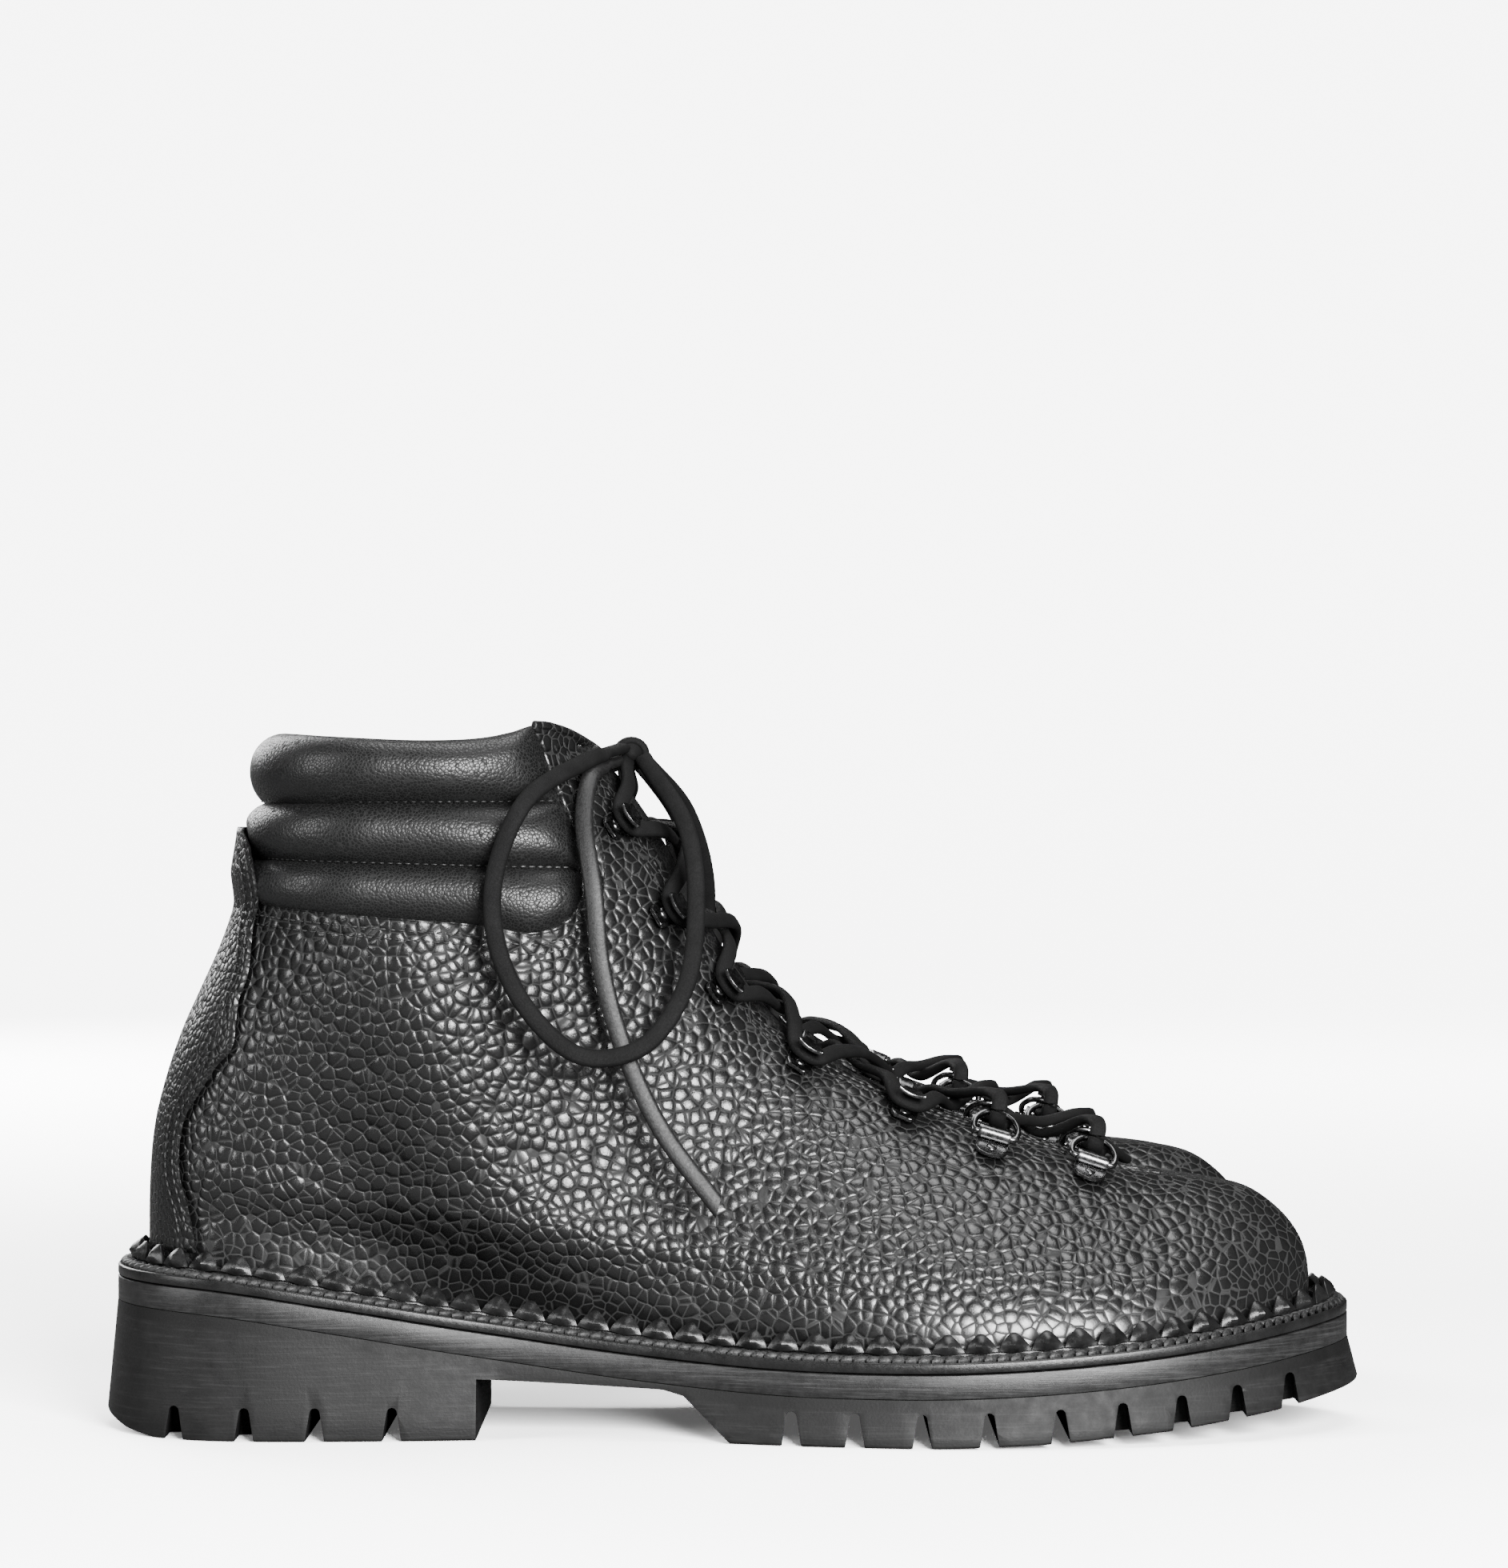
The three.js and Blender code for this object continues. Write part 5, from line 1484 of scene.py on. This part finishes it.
def hook_fold(u, v):
    """The neck and the lip as one bent strip: up out of the base, over, and back to a flared end."""
    turn = np.clip(u / 0.42, 0, 1) * math.pi / 2
    lip = np.clip((u - 0.42) / 0.58, 0, 1)
    x = 0.4 + 1.5 * (1 - np.cos(turn)) + lip * 5.0
    z = 0.5 + (LIP_HEIGHT - 0.5) * np.sin(turn) + 1.0 * lip**2
    wide = lerp(1.7, 2.4, np.clip(u / 0.42, 0, 1)) + (HOOK_WIDTH / 2 + 0.3 - 2.4) * smoothstep(lip, 0.1, 0.9)
    wide = wide * np.where(lip > 0.9, 0.95, 1)
    curl = 0.8 * (2 * v - 1) ** 2 * smoothstep(lip, 0, 0.7)
    return np.stack([x, (2 * v - 1) * wide, z + curl], axis=1)


def rivet_head(x, z, radius, proud):
    """A low round head on a plate."""
    bpy.ops.object.select_all(action="DESELECT")
    bpy.ops.mesh.primitive_uv_sphere_add(segments=16, ring_count=8, radius=1)
    head = bpy.context.object
    sizes = Vector((radius, radius, proud)) * MM
    head.data.transform(Matrix.Translation(Vector((x, 0, z)) * MM) @ Matrix.Diagonal(sizes.to_4d()))
    close_up(head)
    return head


base = plate_patch("base", 10, 4, hook_base, PLATE)
fold = plate_patch("fold", 18, 8, hook_fold, BENT_PLATE)
rivet = rivet_head(5.2, 0.95, 1.6, 0.6)
hook = join([base, fold, rivet], "hook")
hook.data.materials.append(nickel)


def clip_strip(u, v):
    """The clip's strip: a tail with a round end, and a roll round the ring's bar."""
    tail = np.clip(u / 0.45, 0, 1)
    turn = np.clip((u - 0.45) / 0.55, 0, 1) * math.radians(300)
    radius = ROLL_RADIUS - 0.45
    x = np.where(u < 0.45, lerp(8.2, 0, tail), -radius * np.sin(turn))
    z = np.where(u < 0.45, -radius, -radius * np.cos(turn))
    end = np.clip(tail / 0.45, 0, 1)
    wide = CLIP_WIDTH / 2 * np.sqrt(1 - (1 - end) ** 2.4 * 0.98)
    return np.stack([x, (2 * v - 1) * wide, z], axis=1)


strip = plate_patch("strip", 40, 8, clip_strip, BENT_PLATE, 0.18)
rivet = rivet_head(4.6, -1.1, 1.4, 0.55)
clip = join([strip, rivet], "ring_clip")
clip.data.materials.append(nickel)

bow = [
    [0, -RING_HALF_WIDTH + 0.5, 0],
    [-1.2, -RING_HALF_WIDTH, 0],
    [-RING_REACH * 0.5, -RING_HALF_WIDTH * 0.96, 0],
    [-RING_REACH * 0.86, -RING_HALF_WIDTH * 0.62, 0],
    [-RING_REACH, 0, 0],
    [-RING_REACH * 0.86, RING_HALF_WIDTH * 0.62, 0],
    [-RING_REACH * 0.5, RING_HALF_WIDTH * 0.96, 0],
    [-1.2, RING_HALF_WIDTH, 0],
    [0, RING_HALF_WIDTH - 0.5, 0],
    [0, 2, 0],
    [0, -2, 0],
]
wire = smooth_line(bow, 8, closed=True)
wire_wide = 2 * WIRE_RADIUS
ring = strap("ring", wire, np.tile([0, 0, 1.0], (len(wire), 1)), wire_wide, wire_wide, 12, True, 1.0)
tilt = math.radians(RING_TILT)
ring.data.transform(Matrix.Rotation(tilt, 4, "Y"))
ring.data.materials.append(nickel)
for side, way in (("outer", -1), ("inner", 1)):
    for i, place in enumerate(HOOK_SEATS, 1):
        made = seat_copy(hook, seat_at(place, way), 0, f"{side}_hook_{i}")
        make_pair(made, f"{side}_hook_{i}_plate", [f"{side}_hook_{i}"])
    for i, place in enumerate(RING_SEATS, 1):
        seat = seat_at(place, way)
        made = seat_copy(clip, seat, ROLL_RADIUS, f"{side}_ring_clip_{i}")
        make_pair(made, f"{side}_ring_clip_{i}_strip", [f"{side}_ring_clip_{i}"])
        made = seat_copy(ring, seat, ROLL_RADIUS, f"{side}_ring_{i}")
        own = f"{side}_ring_{i}"
        make_pair(made, f"{own}_wire", [own], body=own)
for template in (hook, clip, ring):
    bpy.data.objects.remove(template)

# ---- Lace: one flat leather lace to a boot, up through the rings and behind the hooks, crossing over the
# tongue, tied in a bow whose two loops and two ends hang down the sides.
LACE_WIDTH = 4.4
LACE_THICK = 2.3
KNOT = [129.5, 0, 165.5]
KNOT_SIZES = (3.1, 5.6, 2.9)
OUTER_LOOP = [
    [127.5, -4, 167],
    [119, -24, 163.5],
    [105, -42, 153.5],
    [98, -45, 136],
    [98.5, -45.5, 120],
    [106, -46, 104],
    [119, -46.5, 93],
    [133, -46, 95],
    [143, -42, 108],
    [146, -33, 126],
    [144, -25, 146],
    [132.5, -4, 164.5],
]
OUTER_TAIL = [
    [127, -4, 164],
    [120.5, -25, 160],
    [119, -34, 149],
    [121.5, -40.5, 133],
    [123.5, -42, 114],
    [129, -43, 94],
    [138, -44, 75],
    [151.5, -46, 57],
]
INNER_LOOP = [
    [128, 4, 166.5],
    [119.5, 25, 162],
    [111, 37, 148],
    [110, 41.5, 130],
    [114, 42, 112],
    [124, 42, 100],
    [136, 41, 100],
    [145, 37, 113],
    [148, 29, 131],
    [143, 18, 151],
    [132.5, 4, 164],
]
INNER_TAIL = [
    [127.5, 4, 163.5],
    [120, 26, 159],
    [119, 35, 147],
    [123, 38.5, 129],
    [130, 40, 108],
    [138, 41, 90],
    [146, 42, 75],
]


def near(seat, back, up, out):
    """A point beside a seat: back from the throat, up the facing and out of the leather."""
    return seat["origin"] + seat["rear"] * back + seat["along"] * up + seat["normal"] * out


def over_tongue(step, across, lift):
    """A point over the front of the boot, lifted clear for the lace, with the way out there."""
    point = front_points(step, [across])[0]
    _, _, outward = front_frame(step)
    lean = float(np.clip(across / 26, -1, 1))
    out = np.array([outward[0], 0, outward[1]]) * math.sqrt(1 - lean * lean) + np.array([0, lean, 0])
    return point + out * lift, out


def laced_end(start_side):
    """One end of the lace, from the lowest crossing up to the knot, with the way that its face turns."""
    clear = LACE_RADIUS + LACE_LIFT
    over = 2 * LACE_RADIUS + LACE_LIFT if start_side > 0 else 0
    points, outs = [], []

    def go(point, out):
        points.append(point)
        outs.append(out)

    go(*over_tongue(THROAT_FROM + 0.5, 0, clear))
    seats = RING_SEATS + HOOK_SEATS
    for row, place in enumerate(seats):
        side = -start_side if row % 2 else start_side
        seat = seat_at(place, side)
        out, rear, along = seat["normal"], seat["rear"], seat["along"]
        if row < len(RING_SEATS):
            # Over the throat's edge, under the bow, up through the ring and back out over it.
            for back, up, lift, face in (
                (-1.35, -2.4, 1.9, out),
                (-0.85, -0.6, 1.25, out - rear),
                (-0.5, 0.2, 4.2, -rear),
                (-0.85, 1, 8.6, -out - rear),
                (-1.6, 3.6, 7, -out),
            ):
                go(near(seat, RING_REACH * back, up, lift), face if lift < 5 else -face)
        else:
            # In from the throat below the hook, behind its neck and out again above it.
            behind = HOOK_NECK_LENGTH + LACE_LIFT + LACE_RADIUS
            level = PLATE + LACE_LIFT + LACE_RADIUS
            go(near(seat, -4.6, -6.4, level), out)
            go(near(seat, behind, -2.6, level), out + rear * 0.6)
            go(near(seat, behind, 2.6, level), out + rear * 0.6)
            go(near(seat, -4.6, 6.4, level), out)
        if row + 1 < len(seats):
            halfway = (seat["step"] + seat_at(seats[row + 1], -side)["step"]) / 2
            go(*over_tongue(halfway, 0, clear + over))
    go(*over_tongue(14, start_side * 5, clear + 1.5))
    go(np.array(KNOT), np.array([0.6, 0, 0.8]))
    return smooth_line(points, 10), smooth_line(outs, 10)


lace_leather = fibrous(
    "lace_leather",
    (2400.0, 5.0, 0.7),
    [(0.3, 0.62), (0.7, 0.85)],
    [(0.3, 0.0012), (0.75, 0.004)],
    (220.0, 3.0),
    relief=0.0002,
    constants={"Specular IOR Level": 0.2},
)
lace_grain = fibrous(
    "lace_grain",
    (1500.0, 5.0, 0.7),
    [(0.3, 0.38), (0.7, 0.6)],
    [(0.35, 0.003), (0.7, 0.011)],
    relief=0.00015,
    strength=0.7,
)

laced = []
for start_side in (-1, 1):
    path, outs = laced_end(start_side)
    laced.append(strap("laced", path, outs, LACE_WIDTH * 0.92, LACE_THICK, 12, square=0.7))
turn = np.linspace(0, 2 * math.pi, 25)[:-1]
wrap_path = np.stack([KNOT[0] + 3.5 * np.cos(turn), 0 * turn + 0.2, KNOT[2] + 3.2 * np.sin(turn)], axis=1)
wrap_outs = np.stack([np.cos(turn), 0 * turn, np.sin(turn)], axis=1)
laced.append(strap("wrap", wrap_path, wrap_outs, 5.0, 2.2, 12, closed=True, square=0.7))
bpy.ops.object.select_all(action="DESELECT")
bpy.ops.mesh.primitive_uv_sphere_add(segments=20, ring_count=12, radius=1)
core = bpy.context.object
core_sizes = Vector(KNOT_SIZES) * MM
core.data.transform(Matrix.Translation(Vector(KNOT) * MM) @ Matrix.Diagonal(core_sizes.to_4d()))
close_up(core)
laced.append(core)
make_pair(join(laced, "laced"), "lace_laced", ["lace"], lace_leather)

FREE_LACES = [
    ("outer_loop", OUTER_LOOP, "object", lace_leather, 0.0),
    ("outer_tail", OUTER_TAIL, "bare", lace_grain, 0.8),
    ("inner_loop", INNER_LOOP, "object", lace_leather, 0.0),
    ("inner_tail", INNER_TAIL, "bare", lace_grain, 0.8),
]
for name, knots, far_end, material, slant in FREE_LACES:
    path = smooth_line(knots, 10)
    way = -1 if "outer" in name else 1
    outs = np.tile([0.0, way, 0.25], (len(path), 1))
    outs[:6] = (0, way * 0.3, 1)
    free = strap(name, path, outs, LACE_WIDTH, LACE_THICK, 12, square=0.7, slant=slant)
    pair = make_pair(free, f"lace_{name}", ["lace"], material)
